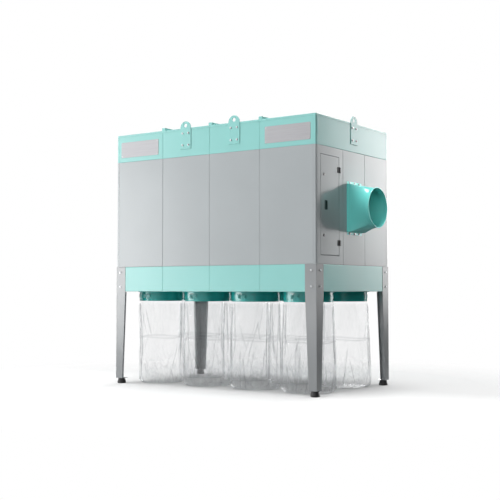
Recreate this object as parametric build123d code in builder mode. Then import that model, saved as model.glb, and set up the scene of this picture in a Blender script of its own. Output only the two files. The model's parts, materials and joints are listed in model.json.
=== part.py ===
from build123d import *
import math
import os

# ---------------------------------------------------------------------------
# Driving sizes, in millimetres.  +Z is up, the long front faces -Y, the inlet
# is on the +X end, and the origin is on the floor under the middle of the box.
# ---------------------------------------------------------------------------

# Cabinet
module_widths = (650.0, 625.0, 625.0, 650.0)  # the filter modules along the front
bay_widths = (520.0, 456.0, 520.0)  # the panels along an end
base_bottom = 1000.0  # underside of the collecting section
base_height = 265.0
wall_height = 1150.0
top_height = 299.0
roof_lip = 22.0

# Folded sheet
panel_sheet = 2.0
panel_depth = 30.0
fold_radius = 4.0
seal_gap = 1.0  # sealing strip between neighbouring trays
post_size = 30.0
post_radius = 14.0
seam_cap_width = 44.0
seam_cap_height = 31.0
seam_cap_inset = 12.0

# Legs and feet
leg_sheet = 3.0
leg_width_front = 126.0
leg_width_side = 130.0
leg_width_foot = 87.0
leg_lip = 20.0
leg_lip_gap = 6.0
leg_bolt_inset_front = 55.0
leg_bolt_inset_side = 63.0
leg_bolt_rise = 52.0
leg_bolt_drop = 59.0
foot_height = 56.0
foot_base_radius = 46.0
foot_top_radius = 36.0
foot_inset = 42.0
stud_radius = 6.0
stud_clearance = 0.3
stud_depth = 36.0
stud_rise = 26.0
nut_across_flats = 19.0
nut_height = 10.0

# Hexagon flange bolts
bolt_radius = 5.0
bolt_clearance = 0.3
bolt_across_flats = 17.0
bolt_head_height = 7.0
bolt_flange_radius = 11.0
bolt_flange_height = 2.0
bolt_length = 20.0

# Lifting lugs
lug_sheet = 6.0
lug_width = 140.0
lug_drop = 222.0
lug_eye_radius = 20.0
lug_eye_rise = 26.0
lug_bolt_spacing = 78.0
lug_bolt_rows = (-54.0, -179.0)  # below the roof edge

# Blank nameplates
plate_width = 530.0
plate_height = 168.0
plate_sheet = 2.0
plate_corner = 8.0
plate_centre_drop = 166.0
rivet_inset = 14.0
rivet_radius = 3.0
rivet_clearance = 0.2
rivet_head_radius = 6.0
rivet_head_height = 2.5
rivet_length = 8.0

# Collecting section: funnels, collars, bags and their clamps
bag_row_pitch = 720.0  # front bags to rear bags
collar_radius = 250.0
collar_sheet = 2.5
collar_drop = 103.0
collar_flange_width = 16.0
collar_flange_height = 5.0
funnel_sheet = 2.0
funnel_neck = 12.0
funnel_slit = 1.2  # degrees of arc that each flat side of the funnel ends on
funnel_corner = 2.5
film_wall = 2.0
film_clearance = 0.3
film_neck_rise = 78.0  # how far the film reaches up the collar
film_swell = 34.0
film_belly_drop = 850.0
film_bottom_gap = 3.0
film_bottom_radius = 38.0
band_sheet = 2.0
band_width = 40.0
band_drop = 51.0
band_split = 12.0
lever_pivot_inset = 34.0
lever_pivot_out = 9.0
lever_reach = 46.0
lever_sheet = 4.0
lever_height = 26.0
lever_knuckle_radius = 6.5
lever_pin_radius = 3.0
lever_ear_thickness = 4.0
lever_ear_length = 16.0
lever_slot_height = 16.0
lever_slot_near = (-20.0, -2.0)
hook_near, hook_far = 20.0, 36.0
hook_height = 12.0
hook_clearance = 3.0
running_clearance = 0.05  # radial, of a pin in its bore
end_play = 0.5

# Filter sleeves and their cleaning gear
sleeve_rows = 3
sleeve_radius = 110.0
sleeve_wall = 3.0
sleeve_length = 1000.0
sleeve_flange_width = 8.0
sleeve_flange_height = 4.0
sleeve_clearance = 0.5
tube_sheet_thickness = 4.0
cage_wire_radius = 2.0
cage_wire_count = 8
cage_wire_gap = 2.0
cage_ring_width = 20.0
cage_ring_height = 3.0
cage_cup_height = 10.0
front_zone = 160.0  # kept for the pressure tank
fan_chamber = 310.0  # behind the fan wall
tank_radius = 40.0
tank_wall = 3.0
tank_end_gap = 60.0
tank_inset = 75.0
tank_rise = 130.0
tank_saddle_thickness = 6.0
tank_saddle_width = 60.0
tank_saddle_count = 3
tank_drain_radius = 5.0
valve_radius = 28.0
valve_length = 44.0
valve_coil_radius = 16.0
valve_coil_height = 46.0
pipe_radius = 17.0
pipe_wall = 3.0
pipe_end_gap = 24.0
nozzle_radius = 9.0
nozzle_drop = 36.0
pipe_bracket_width = 30.0
pipe_bracket_thickness = 4.0

# Fans and outlet
fan_wall_flange = 20.0
fan_radius = 105.0
fan_eye_radius = 66.0
fan_eye_clearance = 2.0
fan_gap = 16.0  # impeller to the wall
fan_width = 44.0
fan_plate = 3.0
fan_blade_count = 7
fan_blade_thickness = 3.0
fan_blade_turn = 50.0
fan_hub_radius = 22.0
fan_hub_length = 26.0
shaft_radius = 9.0
motor_gap = 22.0  # impeller back plate to the motor plate
motor_plate = 5.0
motor_plate_size = 190.0
motor_rod_radius = 6.0
motor_rod_inset = 10.0
motor_radius = 58.0
motor_length = 108.0
motor_shaft_depth = 70.0
louvre_width = 400.0
louvre_height = 160.0
louvre_flange = 15.0
louvre_sheet = 3.0
louvre_depth = 26.0
louvre_blade_count = 6
louvre_clearance = 0.5

# Access door on the inlet end
door_edge_front = 85.0  # from the cabinet corner
door_edge_rear = 81.0  # from the next panel seam
door_edge_bottom = 90.0
door_edge_top = 87.0
door_gap = 4.0
door_lip = 18.0
gasket_thickness = 3.7
gasket_clearance = 0.3
hinge_margin = 125.0
hinge_height = 55.0
hinge_leaf_width = 24.0
hinge_leaf_sheet = 4.0
hinge_knuckle_radius = 6.0
hinge_stand = 1.0  # knuckle off the door's face
hinge_leaf_clearance = 2.0
hinge_pin_radius = 3.0
hinge_middle = 18.0
lock_inset = 60.0
lock_margin = 190.0
lock_face_radius = 15.0
lock_face_height = 6.0
lock_face_gap = 0.1
lock_body_radius = 9.0
lock_cam_length = 78.0
lock_cam_width = 22.0
lock_cam_sheet = 4.0
lock_cam_gap = 2.0
lock_key_size = 8.0
lock_key_depth = 4.0
pull_inset = 102.0
pull_width = 52.0
pull_height = 93.0
pull_flange = 4.0
pull_flange_height = 2.0
pull_depth = 18.0
pull_wall = 2.0
pull_clearance = 0.2
pull_hood = 20.0

# Inlet on the +X end
inlet_width = 300.0
inlet_height = 480.0
inlet_sheet = 2.5
inlet_reach = 273.0
inlet_frame_depth = 20.0
inlet_frame_proud = 3.5
inlet_straight = 45.0
inlet_radius = 200.0
inlet_spigot = 38.0
inlet_bead = 4.0
inlet_bead_width = 8.0
inlet_step = 4.0
inlet_step_width = 4.0
inlet_flange_height = 28.0
inlet_flange_sheet = 3.0
inlet_bolt_count = 3
inlet_slit = 2.0
inlet_corner = 3.0
baffle_distance = 180.0
baffle_sheet = 3.0
baffle_overlap = 30.0
baffle_rod_radius = 8.0
baffle_rod_offset = 18.0

# ---------------------------------------------------------------------------
# Derived places
# ---------------------------------------------------------------------------

cabinet_length = sum(module_widths)
cabinet_depth = sum(bay_widths)
half_length = cabinet_length / 2
half_depth = cabinet_depth / 2
bolt_stand = bolt_flange_height + bolt_head_height
left_reach = lug_sheet + bolt_stand
cabinet_x = (left_reach - inlet_reach) / 2  # the whole object is centred on X = 0
module_edges = [sum(module_widths[:index]) - half_length for index in range(len(module_widths) + 1)]
modules = list(zip(module_edges, module_edges[1:]))
module_centres = [(low + high) / 2 for low, high in modules]
seams = module_edges[1:-1]
base_top = base_bottom + base_height
wall_top = base_top + wall_height
cabinet_top = wall_top + top_height
top_panel_top = cabinet_top - roof_lip

FRONT, RIGHT, REAR, LEFT = 0, 90, 180, -90

os.makedirs("parts", exist_ok=True)


def write_piece(piece, name):
    """Label a finished piece and write it as one STEP file."""
    piece.part.label = name
    export_step(piece.part, f"parts/{name}.step")


def on_side(side, along, level):
    """A place on one outer face: local +X runs along it, local -Y points out of the cabinet."""
    reach = half_depth if side in (FRONT, REAR) else half_length
    return Pos(cabinet_x, 0, 0) * Rot(0, 0, side) * Pos(along, -reach, level)


def corner_copies(piece):
    """The four corner pieces, from one drawn with the cabinet's corner at the origin."""
    front_left = Pos(cabinet_x - half_length, -half_depth, 0) * piece
    front_right = mirror(front_left, about=Plane.YZ.offset(cabinet_x))
    rear_left = mirror(front_left, about=Plane.XZ)
    rear_right = mirror(front_right, about=Plane.XZ)
    return {
        "front_left": front_left,
        "front_right": front_right,
        "rear_left": rear_left,
        "rear_right": rear_right,
    }


# ---------------------------------------------------------------------------
# Folded trays: every wall, band and roof panel
# ---------------------------------------------------------------------------


def spans(widths, end_inset):
    """Centre and width of each tray in a row, between the insets at its two ends."""
    row = []
    edge = -sum(widths) / 2
    for index, width in enumerate(widths):
        low = edge + (end_inset if index == 0 else seal_gap / 2)
        edge += width
        high = edge - (end_inset if index == len(widths) - 1 else seal_gap / 2)
        row.append(((low + high) / 2, high - low))
    return row


def rounded_block(width, depth, height, radius, end_radius=0.0, rounded_end=None):
    """A block with its front rim rounded, and at one end its two upright corners as well."""
    with BuildPart() as block:
        Box(width, depth, height, align=(Align.CENTER, Align.MIN, Align.CENTER))
        if rounded_end is not None:
            fillet(block.edges().filter_by(Axis.Y).group_by(Axis.X)[rounded_end], end_radius)
        fillet(block.faces().sort_by(Axis.Y)[0].edges(), radius)
    return block.part


def folded_tray(width, height, depth=panel_depth, holes=(), windows=(), rounded_end=None):
    """A sheet tray: its outer face is on Y = 0 and its four returns run back along +Y."""
    core = rounded_block(
        width - 2 * panel_sheet,
        depth,
        height - 2 * panel_sheet,
        fold_radius - panel_sheet,
        post_radius - panel_sheet,
        rounded_end,
    )
    with BuildPart() as tray:
        add(rounded_block(width, depth, height, fold_radius, post_radius, rounded_end))
        with Locations((0, panel_sheet, 0)):
            add(core, mode=Mode.SUBTRACT)
        for along, level, radius in holes:
            with Locations(Pos(along, 0, level) * Rot(90, 0, 0)):
                Cylinder(radius, 4 * panel_sheet, mode=Mode.SUBTRACT)
        for along, level, window_width, window_height in windows:
            with Locations((along, 0, level)):
                Box(window_width, 4 * panel_sheet, window_height, mode=Mode.SUBTRACT)
    return tray.part


def tray_row(side, row, low, high, holes=(), windows=()):
    """Trays side by side on one face, each with the holes and windows that lie in it."""
    level = (low + high) / 2
    placed = []
    for centre, width in row:
        inside = [(along - centre, z - level, radius) for along, z, radius in holes
                  if abs(along - centre) < width / 2]
        cuts = [(along - centre, z - level, w, h) for along, z, w, h in windows
                if abs(along - centre) < width / 2]
        tray = folded_tray(width, high - low, holes=inside, windows=cuts)
        placed.append(on_side(side, centre, level) * tray)
    return placed


front_row = spans(module_widths, post_size)
end_row = spans(bay_widths, post_size)
end_single = spans([cabinet_depth], post_size)

leg_bolt_levels = (base_bottom + leg_bolt_rise, base_top - leg_bolt_drop)
bolt_hole = bolt_radius + bolt_clearance
leg_holes_front = [(side * (half_length - leg_bolt_inset_front), level, bolt_hole)
                   for side in (-1, 1) for level in leg_bolt_levels]
leg_holes_end = [(side * (half_depth - leg_bolt_inset_side), level, bolt_hole)
                 for side in (-1, 1) for level in leg_bolt_levels]

lug_modules = module_centres[1:-1]
lug_bolt_places = [(side * lug_bolt_spacing / 2, cabinet_top + row)
                   for side in (-1, 1) for row in lug_bolt_rows]
lug_holes_front = [(centre + along, level, bolt_hole)
                   for centre in lug_modules for along, level in lug_bolt_places]
lug_holes_end = [(along, level, bolt_hole) for along, level in lug_bolt_places]

plate_modules = (module_centres[0], module_centres[-1])
plate_level = cabinet_top - plate_centre_drop
rivet_hole = rivet_radius + rivet_clearance
rivet_places = [(side * (plate_width / 2 - rivet_inset), end * (plate_height / 2 - rivet_inset))
                for side in (-1, 1) for end in (-1, 1)]
plate_holes = [(centre + along, plate_level + level, rivet_hole)
               for centre in plate_modules for along, level in rivet_places]

outlet_level = (wall_top + top_panel_top) / 2
outlet_windows = [(centre, outlet_level, louvre_width, louvre_height) for centre in plate_modules]


def write_trays(name, trays):
    """One node of separate trays."""
    with BuildPart() as group:
        for tray in trays:
            add(tray)
    write_piece(group, name)


write_trays("base_panels_front", tray_row(FRONT, front_row, base_bottom, base_top, leg_holes_front))
write_trays("base_panels_rear", tray_row(REAR, front_row, base_bottom, base_top, leg_holes_front))
write_trays(
    "base_panels_ends",
    tray_row(LEFT, end_single, base_bottom, base_top, leg_holes_end)
    + tray_row(RIGHT, end_single, base_bottom, base_top, leg_holes_end),
)
write_trays("wall_panels_front", tray_row(FRONT, front_row, base_top, wall_top))
write_trays("wall_panels_rear", tray_row(REAR, front_row, base_top, wall_top))
write_trays("wall_panels_left", tray_row(LEFT, end_row, base_top, wall_top))
write_trays("right_rear_panel", tray_row(RIGHT, end_row[2:], base_top, wall_top))
write_trays(
    "top_panels_front",
    tray_row(FRONT, front_row, wall_top, top_panel_top, lug_holes_front + plate_holes),
)
write_trays(
    "top_panels_rear",
    tray_row(REAR, front_row, wall_top, top_panel_top, lug_holes_front, outlet_windows),
)
write_trays(
    "top_panels_ends",
    tray_row(LEFT, end_single, wall_top, top_panel_top, lug_holes_end)
    + tray_row(RIGHT, end_single, wall_top, top_panel_top, lug_holes_end),
)

with BuildPart() as roof_panels:
    roof_row = spans(module_widths, 0.0)
    for index, (centre, width) in enumerate(roof_row):
        end = 0 if index == 0 else -1 if index == len(roof_row) - 1 else None
        with Locations(Pos(cabinet_x + centre, 0, cabinet_top) * Rot(-90, 0, 0)):
            add(folded_tray(width, cabinet_depth, depth=roof_lip, rounded_end=end))
write_piece(roof_panels, "roof_panels")

with BuildPart() as roof_seam_caps:
    cap = folded_tray(seam_cap_width, cabinet_depth - 2 * seam_cap_inset, depth=seam_cap_height)
    for seam in seams:
        with Locations(Pos(cabinet_x + seam, 0, cabinet_top + seam_cap_height) * Rot(-90, 0, 0)):
            add(cap)
write_piece(roof_seam_caps, "roof_seam_caps")


def corner_post(low, high):
    """A square tube with one rounded corner, which is the cabinet's own corner."""
    with BuildPart() as post:
        with BuildSketch(Plane.XY.offset(low)) as section:
            Rectangle(post_size, post_size, align=(Align.MIN, Align.MIN))
            fillet(section.vertices().sort_by(lambda corner: corner.X + corner.Y)[0], post_radius)
            offset(amount=-panel_sheet, mode=Mode.SUBTRACT)
        extrude(amount=high - low)
    return post.part


for name, low, high in (
    ("corner_posts", base_bottom, wall_top),
    ("top_corner_posts", wall_top, top_panel_top),
):
    write_trays(name, corner_copies(corner_post(low, high)).values())

# ---------------------------------------------------------------------------
# Legs, feet and bolts
# ---------------------------------------------------------------------------


def leg_outline(width_top):
    """One flange of a leg: straight over the cabinet's base, tapered below it."""
    return [
        (-leg_sheet, foot_height),
        (leg_width_foot, foot_height),
        (width_top, base_bottom),
        (width_top, base_top),
        (-leg_sheet, base_top),
    ]


def lip_outline(width_top):
    """The edge strip of a flange that folds inwards, below the cabinet."""
    lip_top = base_bottom - leg_lip_gap
    share = (lip_top - foot_height) / (base_bottom - foot_height)
    top_edge = leg_width_foot + (width_top - leg_width_foot) * share
    return [
        (leg_width_foot - leg_sheet, foot_height),
        (leg_width_foot, foot_height),
        (top_edge, lip_top),
        (top_edge - leg_sheet, lip_top),
    ]


with BuildPart() as corner_leg:
    for plane, width_top, inset, inward in (
        (Plane.XZ, leg_width_front, leg_bolt_inset_front, -1),
        (Plane.YZ, leg_width_side, leg_bolt_inset_side, 1),
    ):
        with BuildSketch(plane):
            with BuildLine():
                Polyline(*leg_outline(width_top), close=True)
            make_face()
            with Locations(*[(inset, level) for level in leg_bolt_levels]):
                Circle(bolt_hole, mode=Mode.SUBTRACT)
        extrude(amount=-inward * leg_sheet)
        with BuildSketch(plane):
            with BuildLine():
                Polyline(*lip_outline(width_top), close=True)
            make_face()
        extrude(amount=inward * leg_lip)
    with BuildSketch(Plane.XY.offset(foot_height)):
        Rectangle(leg_width_foot, leg_width_foot, align=(Align.MIN, Align.MIN))
        with Locations((foot_inset, foot_inset)):
            Circle(stud_radius + stud_clearance, mode=Mode.SUBTRACT)
    extrude(amount=leg_sheet)
    outer_edge = corner_leg.edges().filter_by(Axis.Z).sort_by(lambda edge: edge.center().X + edge.center().Y)[0]
    fillet(outer_edge, leg_sheet)

for corner, leg in corner_copies(corner_leg.part).items():
    with BuildPart() as leg_piece:
        add(leg)
    write_piece(leg_piece, f"leg_{corner}")

with BuildPart() as foot:
    with BuildSketch(Plane.XZ):
        with BuildLine():
            Polyline(
                (0, 0),
                (foot_base_radius - 5, 0),
                (foot_base_radius, 5),
                (foot_base_radius, 14),
                (foot_top_radius + 2, foot_height - 6),
                (foot_top_radius, foot_height),
                (0, foot_height),
                close=True,
            )
        make_face()
    revolve(axis=Axis.Z)
    with Locations((0, 0, foot_height)):
        Hole(stud_radius + stud_clearance, depth=stud_depth)

with BuildPart() as stud:
    with BuildSketch(Plane.XY.offset(foot_height - stud_depth)):
        Circle(stud_radius)
    extrude(amount=stud_depth + stud_rise)
    with BuildSketch(Plane.XY.offset(foot_height + leg_sheet)):
        RegularPolygon(nut_across_flats / 2, 6, major_radius=False)
    extrude(amount=nut_height)

for name, piece in (("rubber_feet", foot.part), ("foot_studs", stud.part)):
    write_trays(name, corner_copies(Pos(foot_inset, foot_inset, 0) * piece).values())

with BuildPart() as flange_bolt:
    with BuildSketch(Plane.XZ):
        Circle(bolt_flange_radius)
    extrude(amount=bolt_flange_height)
    with BuildSketch(Plane.XZ.offset(bolt_flange_height)):
        RegularPolygon(bolt_across_flats / 2, 6, major_radius=False)
    extrude(amount=bolt_head_height)
    chamfer(flange_bolt.faces().sort_by(Axis.Y)[0].edges(), 1.0)
    with BuildSketch(Plane.XZ):
        Circle(bolt_radius)
    extrude(amount=-bolt_length)

inlet_level = (base_top + wall_top) / 2
inlet_bolt_pitch = inlet_width / inlet_bolt_count
inlet_bolt_places = [
    ((index - (inlet_bolt_count - 1) / 2) * inlet_bolt_pitch,
     inlet_level + end * (inlet_height + inlet_frame_proud + inlet_flange_height) / 2)
    for index in range(inlet_bolt_count)
    for end in (-1, 1)
]

bolt_places = []
for side in (FRONT, REAR):
    bolt_places += [on_side(side, along, level) * Pos(0, -leg_sheet, 0) for along, level, _ in leg_holes_front]
    bolt_places += [on_side(side, along, level) * Pos(0, -lug_sheet, 0) for along, level, _ in lug_holes_front]
for side in (LEFT, RIGHT):
    bolt_places += [on_side(side, along, level) * Pos(0, -leg_sheet, 0) for along, level, _ in leg_holes_end]
    bolt_places += [on_side(side, along, level) * Pos(0, -lug_sheet, 0) for along, level, _ in lug_holes_end]
bolt_places += [on_side(RIGHT, along, level) * Pos(0, -inlet_flange_sheet, 0)
                for along, level in inlet_bolt_places]

with BuildPart() as hex_bolts:
    with Locations(*bolt_places):
        add(flange_bolt.part)
write_piece(hex_bolts, "hex_bolts")

# ---------------------------------------------------------------------------
# Lifting lugs and blank nameplates
# ---------------------------------------------------------------------------

with BuildPart() as lug:
    with BuildSketch(Plane.XZ):
        with Locations((0, cabinet_top)):
            Circle(lug_width / 2)
            Rectangle(lug_width, lug_drop, align=(Align.CENTER, Align.MAX))
        with Locations((0, cabinet_top + lug_eye_rise)):
            Circle(lug_eye_radius, mode=Mode.SUBTRACT)
        with Locations(*lug_bolt_places):
            Circle(bolt_hole, mode=Mode.SUBTRACT)
    extrude(amount=lug_sheet)
    chamfer(lug.faces().sort_by(Axis.Y)[0].outer_wire().edges(), 1.0)

lug_places = [on_side(side, centre, 0) for side in (FRONT, REAR) for centre in lug_modules]
lug_places += [on_side(side, 0, 0) for side in (LEFT, RIGHT)]
with BuildPart() as lifting_lugs:
    with Locations(*lug_places):
        add(lug.part)
write_piece(lifting_lugs, "lifting_lugs")

with BuildPart() as plate:
    with BuildSketch(Plane.XZ):
        RectangleRounded(plate_width, plate_height, plate_corner)
        with Locations(*rivet_places):
            Circle(rivet_hole, mode=Mode.SUBTRACT)
    extrude(amount=plate_sheet)
    chamfer(plate.faces().sort_by(Axis.Y)[0].outer_wire().edges(), plate_sheet / 3)

with BuildPart() as rivet:
    with BuildSketch(Plane.XZ):
        Circle(rivet_head_radius)
    extrude(amount=rivet_head_height)
    fillet(rivet.faces().sort_by(Axis.Y)[0].edges(), rivet_head_height * 0.8)
    with BuildSketch(Plane.XZ):
        Circle(rivet_radius)
    extrude(amount=-rivet_length)

with BuildPart() as nameplates:
    with Locations(*[on_side(FRONT, centre, plate_level) for centre in plate_modules]):
        add(plate.part)
write_piece(nameplates, "nameplates")

with BuildPart() as nameplate_rivets:
    with Locations(*[on_side(FRONT, along, level) * Pos(0, -plate_sheet, 0) for along, level, _ in plate_holes]):
        add(rivet.part)
write_piece(nameplate_rivets, "nameplate_rivets")

# ---------------------------------------------------------------------------
# Square-to-round sheet transitions
# ---------------------------------------------------------------------------


def square_outline(low_x, high_x, low_y, high_y, corner):
    """A rectangle with very small rounded corners, starting with its +X side."""
    middles = [
        (high_x - corner, high_y - corner, 0),
        (low_x + corner, high_y - corner, 90),
        (low_x + corner, low_y + corner, 180),
        (high_x - corner, low_y + corner, 270),
    ]
    sides = [
        ((high_x, low_y + corner), (high_x, high_y - corner)),
        ((high_x - corner, high_y), (low_x + corner, high_y)),
        ((low_x, high_y - corner), (low_x, low_y + corner)),
        ((low_x + corner, low_y), (high_x - corner, low_y)),
    ]
    for (start, end), (x, y, angle) in zip(sides, middles):
        Line(start, end)
        CenterArc((x, y), corner, angle, 90)


def round_outline(x, y, radius, slit):
    """A circle cut into eight arcs: a short one for each flat side, a long one for each corner."""
    for quarter in range(4):
        CenterArc((x, y), radius, quarter * 90 - slit, 2 * slit)
        CenterArc((x, y), radius, quarter * 90 + slit, 90 - 2 * slit)


def transition(plane, length, rectangle, circle, corner, slit, grow):
    """A solid from a rectangle on the plane to a circle at a distance along its normal."""
    low_x, high_x, low_y, high_y = rectangle
    x, y, radius = circle
    with BuildPart() as solid:
        with BuildSketch(plane):
            with BuildLine():
                square_outline(low_x - grow, high_x + grow, low_y - grow, high_y + grow, corner)
            make_face()
        with BuildSketch(plane.offset(length)):
            with BuildLine():
                round_outline(x, y, radius + grow, slit)
            make_face()
        loft(ruled=True)
    return solid.part


# ---------------------------------------------------------------------------
# Hopper funnels, collars, bags and their clamps
# ---------------------------------------------------------------------------

stations = [(cabinet_x + centre, side * bag_row_pitch / 2, turn)
            for side, turn in ((-1, 0), (1, 180)) for centre in module_centres]
station_places = [Pos(x, y, 0) * Rot(0, 0, turn) for x, y, turn in stations]
funnel_top = base_top + panel_sheet
funnel_shoulder = base_top - funnel_neck


def funnel(low_x, high_x, low_y, high_y, x, y):
    """A sheet funnel from its share of the cabinet's plan down to one collar."""
    inside = (low_x + funnel_sheet, high_x - funnel_sheet, low_y + funnel_sheet, high_y - funnel_sheet)
    plane = Plane.XY.offset(funnel_shoulder)
    # The transition runs downwards, so it is drawn on the plane turned over, with Y reversed.
    down = Plane(origin=plane.origin, x_dir=(1, 0, 0), z_dir=(0, 0, -1))
    flipped = (inside[0], inside[1], -inside[3], -inside[2])
    circle = (x, -y, collar_radius - funnel_sheet)
    drop = funnel_shoulder - base_bottom
    shell = transition(down, drop, flipped, circle, funnel_corner, funnel_slit, funnel_sheet)
    bore = transition(down, drop, flipped, circle, funnel_corner, funnel_slit, 0)
    with BuildPart() as body:
        add(shell)
        add(bore, mode=Mode.SUBTRACT)
        with BuildSketch(plane):
            with BuildLine():
                square_outline(low_x, high_x, low_y, high_y, funnel_corner)
            make_face()
            with BuildLine():
                square_outline(*inside, funnel_corner)
            make_face(mode=Mode.SUBTRACT)
        extrude(amount=funnel_top - funnel_shoulder)
    return body.part


plan_low_x, plan_high_x = cabinet_x - half_length + panel_depth, cabinet_x + half_length - panel_depth
plan_high_y = half_depth - panel_depth
plan_modules = [
    (max(cabinet_x + low + seal_gap / 2, plan_low_x), min(cabinet_x + high - seal_gap / 2, plan_high_x))
    for low, high in modules
]
with BuildPart() as hopper_funnels:
    for (x, y, _), (low_x, high_x) in zip(stations, plan_modules * 2):
        low_y, high_y = (-plan_high_y, -seal_gap / 2) if y < 0 else (seal_gap / 2, plan_high_y)
        add(funnel(low_x, high_x, low_y, high_y, x, y))
write_piece(hopper_funnels, "hopper_funnels")

collar_bottom = base_bottom - collar_drop
with BuildPart() as collar:
    with BuildSketch(Plane.XZ):
        with BuildLine():
            Polyline(
                (collar_radius - collar_sheet, collar_bottom),
                (collar_radius, collar_bottom),
                (collar_radius, base_bottom - collar_flange_height),
                (collar_radius + collar_flange_width, base_bottom - collar_flange_height),
                (collar_radius + collar_flange_width, base_bottom),
                (collar_radius - collar_sheet, base_bottom),
                close=True,
            )
        make_face()
    revolve(axis=Axis.Z)

film_inside = collar_radius + film_clearance
film_outside = film_inside + film_wall
film_top = collar_bottom + film_neck_rise
film_belly_radius = collar_radius + film_swell
film_belly_level = base_bottom - film_belly_drop
with BuildPart() as bag:
    with BuildSketch(Plane.XZ):
        with BuildLine():
            turn_level = film_bottom_gap + film_bottom_radius
            turn_radius = film_belly_radius - film_bottom_radius
            Polyline(
                (0, film_bottom_gap + film_wall),
                (0, film_bottom_gap),
                (turn_radius, film_bottom_gap),
            )
            CenterArc((turn_radius, turn_level), film_bottom_radius, -90, 90)
            Polyline(
                (film_belly_radius, turn_level),
                (film_belly_radius, film_belly_level),
                (film_outside, collar_bottom),
                (film_outside, film_top),
                (film_inside, film_top),
                (film_inside, collar_bottom),
                (film_belly_radius - film_wall, film_belly_level),
                (film_belly_radius - film_wall, turn_level),
            )
            CenterArc((turn_radius, turn_level), film_bottom_radius - film_wall, 0, -90)
            Line((turn_radius, film_bottom_gap + film_wall), (0, film_bottom_gap + film_wall))
        make_face()
    revolve(axis=Axis.Z)

band_level = base_bottom - band_drop
band_inside = film_outside + film_clearance
band_outside = band_inside + band_sheet
pivot_x, pivot_y = -lever_pivot_inset, -(band_outside + lever_pivot_out)
ear_height = lever_height + 2 * (end_play + lever_ear_thickness)
hook_tip = pivot_y - lever_sheet / 2 - hook_clearance
with BuildPart() as band:
    Cylinder(band_outside, band_width)
    with BuildSketch(Plane.XY.offset(-ear_height / 2)):
        with Locations((pivot_x, pivot_y / 2 - lever_knuckle_radius / 2)):
            Rectangle(lever_ear_length, -pivot_y + lever_knuckle_radius)
    extrude(amount=ear_height)
    with Locations((pivot_x, pivot_y, 0)):
        Box(
            2 * lever_ear_length,
            2 * (lever_knuckle_radius + end_play),
            lever_height + 2 * end_play,
            mode=Mode.SUBTRACT,
        )
        Cylinder(lever_pin_radius, ear_height)
    with Locations(((hook_near + hook_far) / 2, hook_tip / 2, 0)):
        Box(hook_far - hook_near, -hook_tip, hook_height)
    Cylinder(band_inside, 2 * ear_height, mode=Mode.SUBTRACT)
    with Locations((0, -band_outside, 0)):
        Box(band_split, 2 * lever_pivot_out, 2 * ear_height, mode=Mode.SUBTRACT)

with BuildPart() as lever:
    with Locations((pivot_x, pivot_y, 0)):
        Cylinder(lever_knuckle_radius, lever_height)
    with Locations(((pivot_x + lever_reach) / 2, pivot_y, 0)):
        Box(lever_reach - pivot_x, lever_sheet, lever_height)
    tip_edges = lever.faces().filter_by(Axis.X).sort_by(Axis.X)[-1].edges().filter_by(Axis.Y)
    fillet(tip_edges, lever_height / 4)
    slots = (lever_slot_near, (hook_near - hook_clearance, hook_far + hook_clearance))
    for low, high in slots:
        with Locations(((low + high) / 2, pivot_y, 0)):
            Box(high - low, 2 * lever_sheet, lever_slot_height, mode=Mode.SUBTRACT)
    with Locations((pivot_x, pivot_y, 0)):
        Cylinder(lever_pin_radius + running_clearance, 2 * lever_height, mode=Mode.SUBTRACT)

for name, piece in (
    ("bag_collars", collar.part),
    ("dust_bags", bag.part),
    ("clamp_bands", Pos(0, 0, band_level) * band.part),
):
    with BuildPart() as group:
        with Locations(*station_places):
            add(piece)
    write_piece(group, name)

for index, place in enumerate(station_places):
    with BuildPart() as clamp_lever:
        with Locations(place * Pos(0, 0, band_level)):
            add(lever.part)
    write_piece(clamp_lever, f"clamp_lever_{index + 1}")

# ---------------------------------------------------------------------------
# Filter sleeves, cages and pulse cleaning
# ---------------------------------------------------------------------------

sheet_low = wall_top - tube_sheet_thickness / 2
sheet_high = wall_top + tube_sheet_thickness / 2
fan_wall_y = half_depth - fan_chamber
row_pitch = (fan_wall_y + half_depth - front_zone) / sleeve_rows
sleeve_ys = [-half_depth + front_zone + (row + 0.5) * row_pitch for row in range(sleeve_rows)]
columns = [(3 * near + far) / 4 for low, high in modules for near, far in ((low, high), (high, low))]
sleeve_xs = [cabinet_x + column for column in columns[:-1]]  # none in the inlet's own chamber
sleeve_grid = [(x, y) for x in sleeve_xs for y in sleeve_ys]

with BuildPart() as tube_sheets:
    for low_x, high_x in plan_modules:
        with BuildSketch(Plane.XY.offset(sheet_low)):
            with Locations(((low_x + high_x) / 2, 0)):
                Rectangle(high_x - low_x, 2 * plan_high_y)
            with Locations(*[spot for spot in sleeve_grid if low_x < spot[0] < high_x]):
                Circle(sleeve_radius + sleeve_clearance, mode=Mode.SUBTRACT)
        extrude(amount=tube_sheet_thickness)
write_piece(tube_sheets, "tube_sheets")

sleeve_bottom = sheet_high - sleeve_length
sleeve_inside = sleeve_radius - sleeve_wall
with BuildPart() as sleeve:
    with BuildSketch(Plane.XZ):
        with BuildLine():
            Polyline(
                (0, sleeve_bottom),
                (sleeve_radius, sleeve_bottom),
                (sleeve_radius, sheet_high),
                (sleeve_radius + sleeve_flange_width, sheet_high),
                (sleeve_radius + sleeve_flange_width, sheet_high + sleeve_flange_height),
                (sleeve_inside, sheet_high + sleeve_flange_height),
                (sleeve_inside, sleeve_bottom + sleeve_wall),
                (0, sleeve_bottom + sleeve_wall),
                close=True,
            )
        make_face()
    revolve(axis=Axis.Z)

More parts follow.
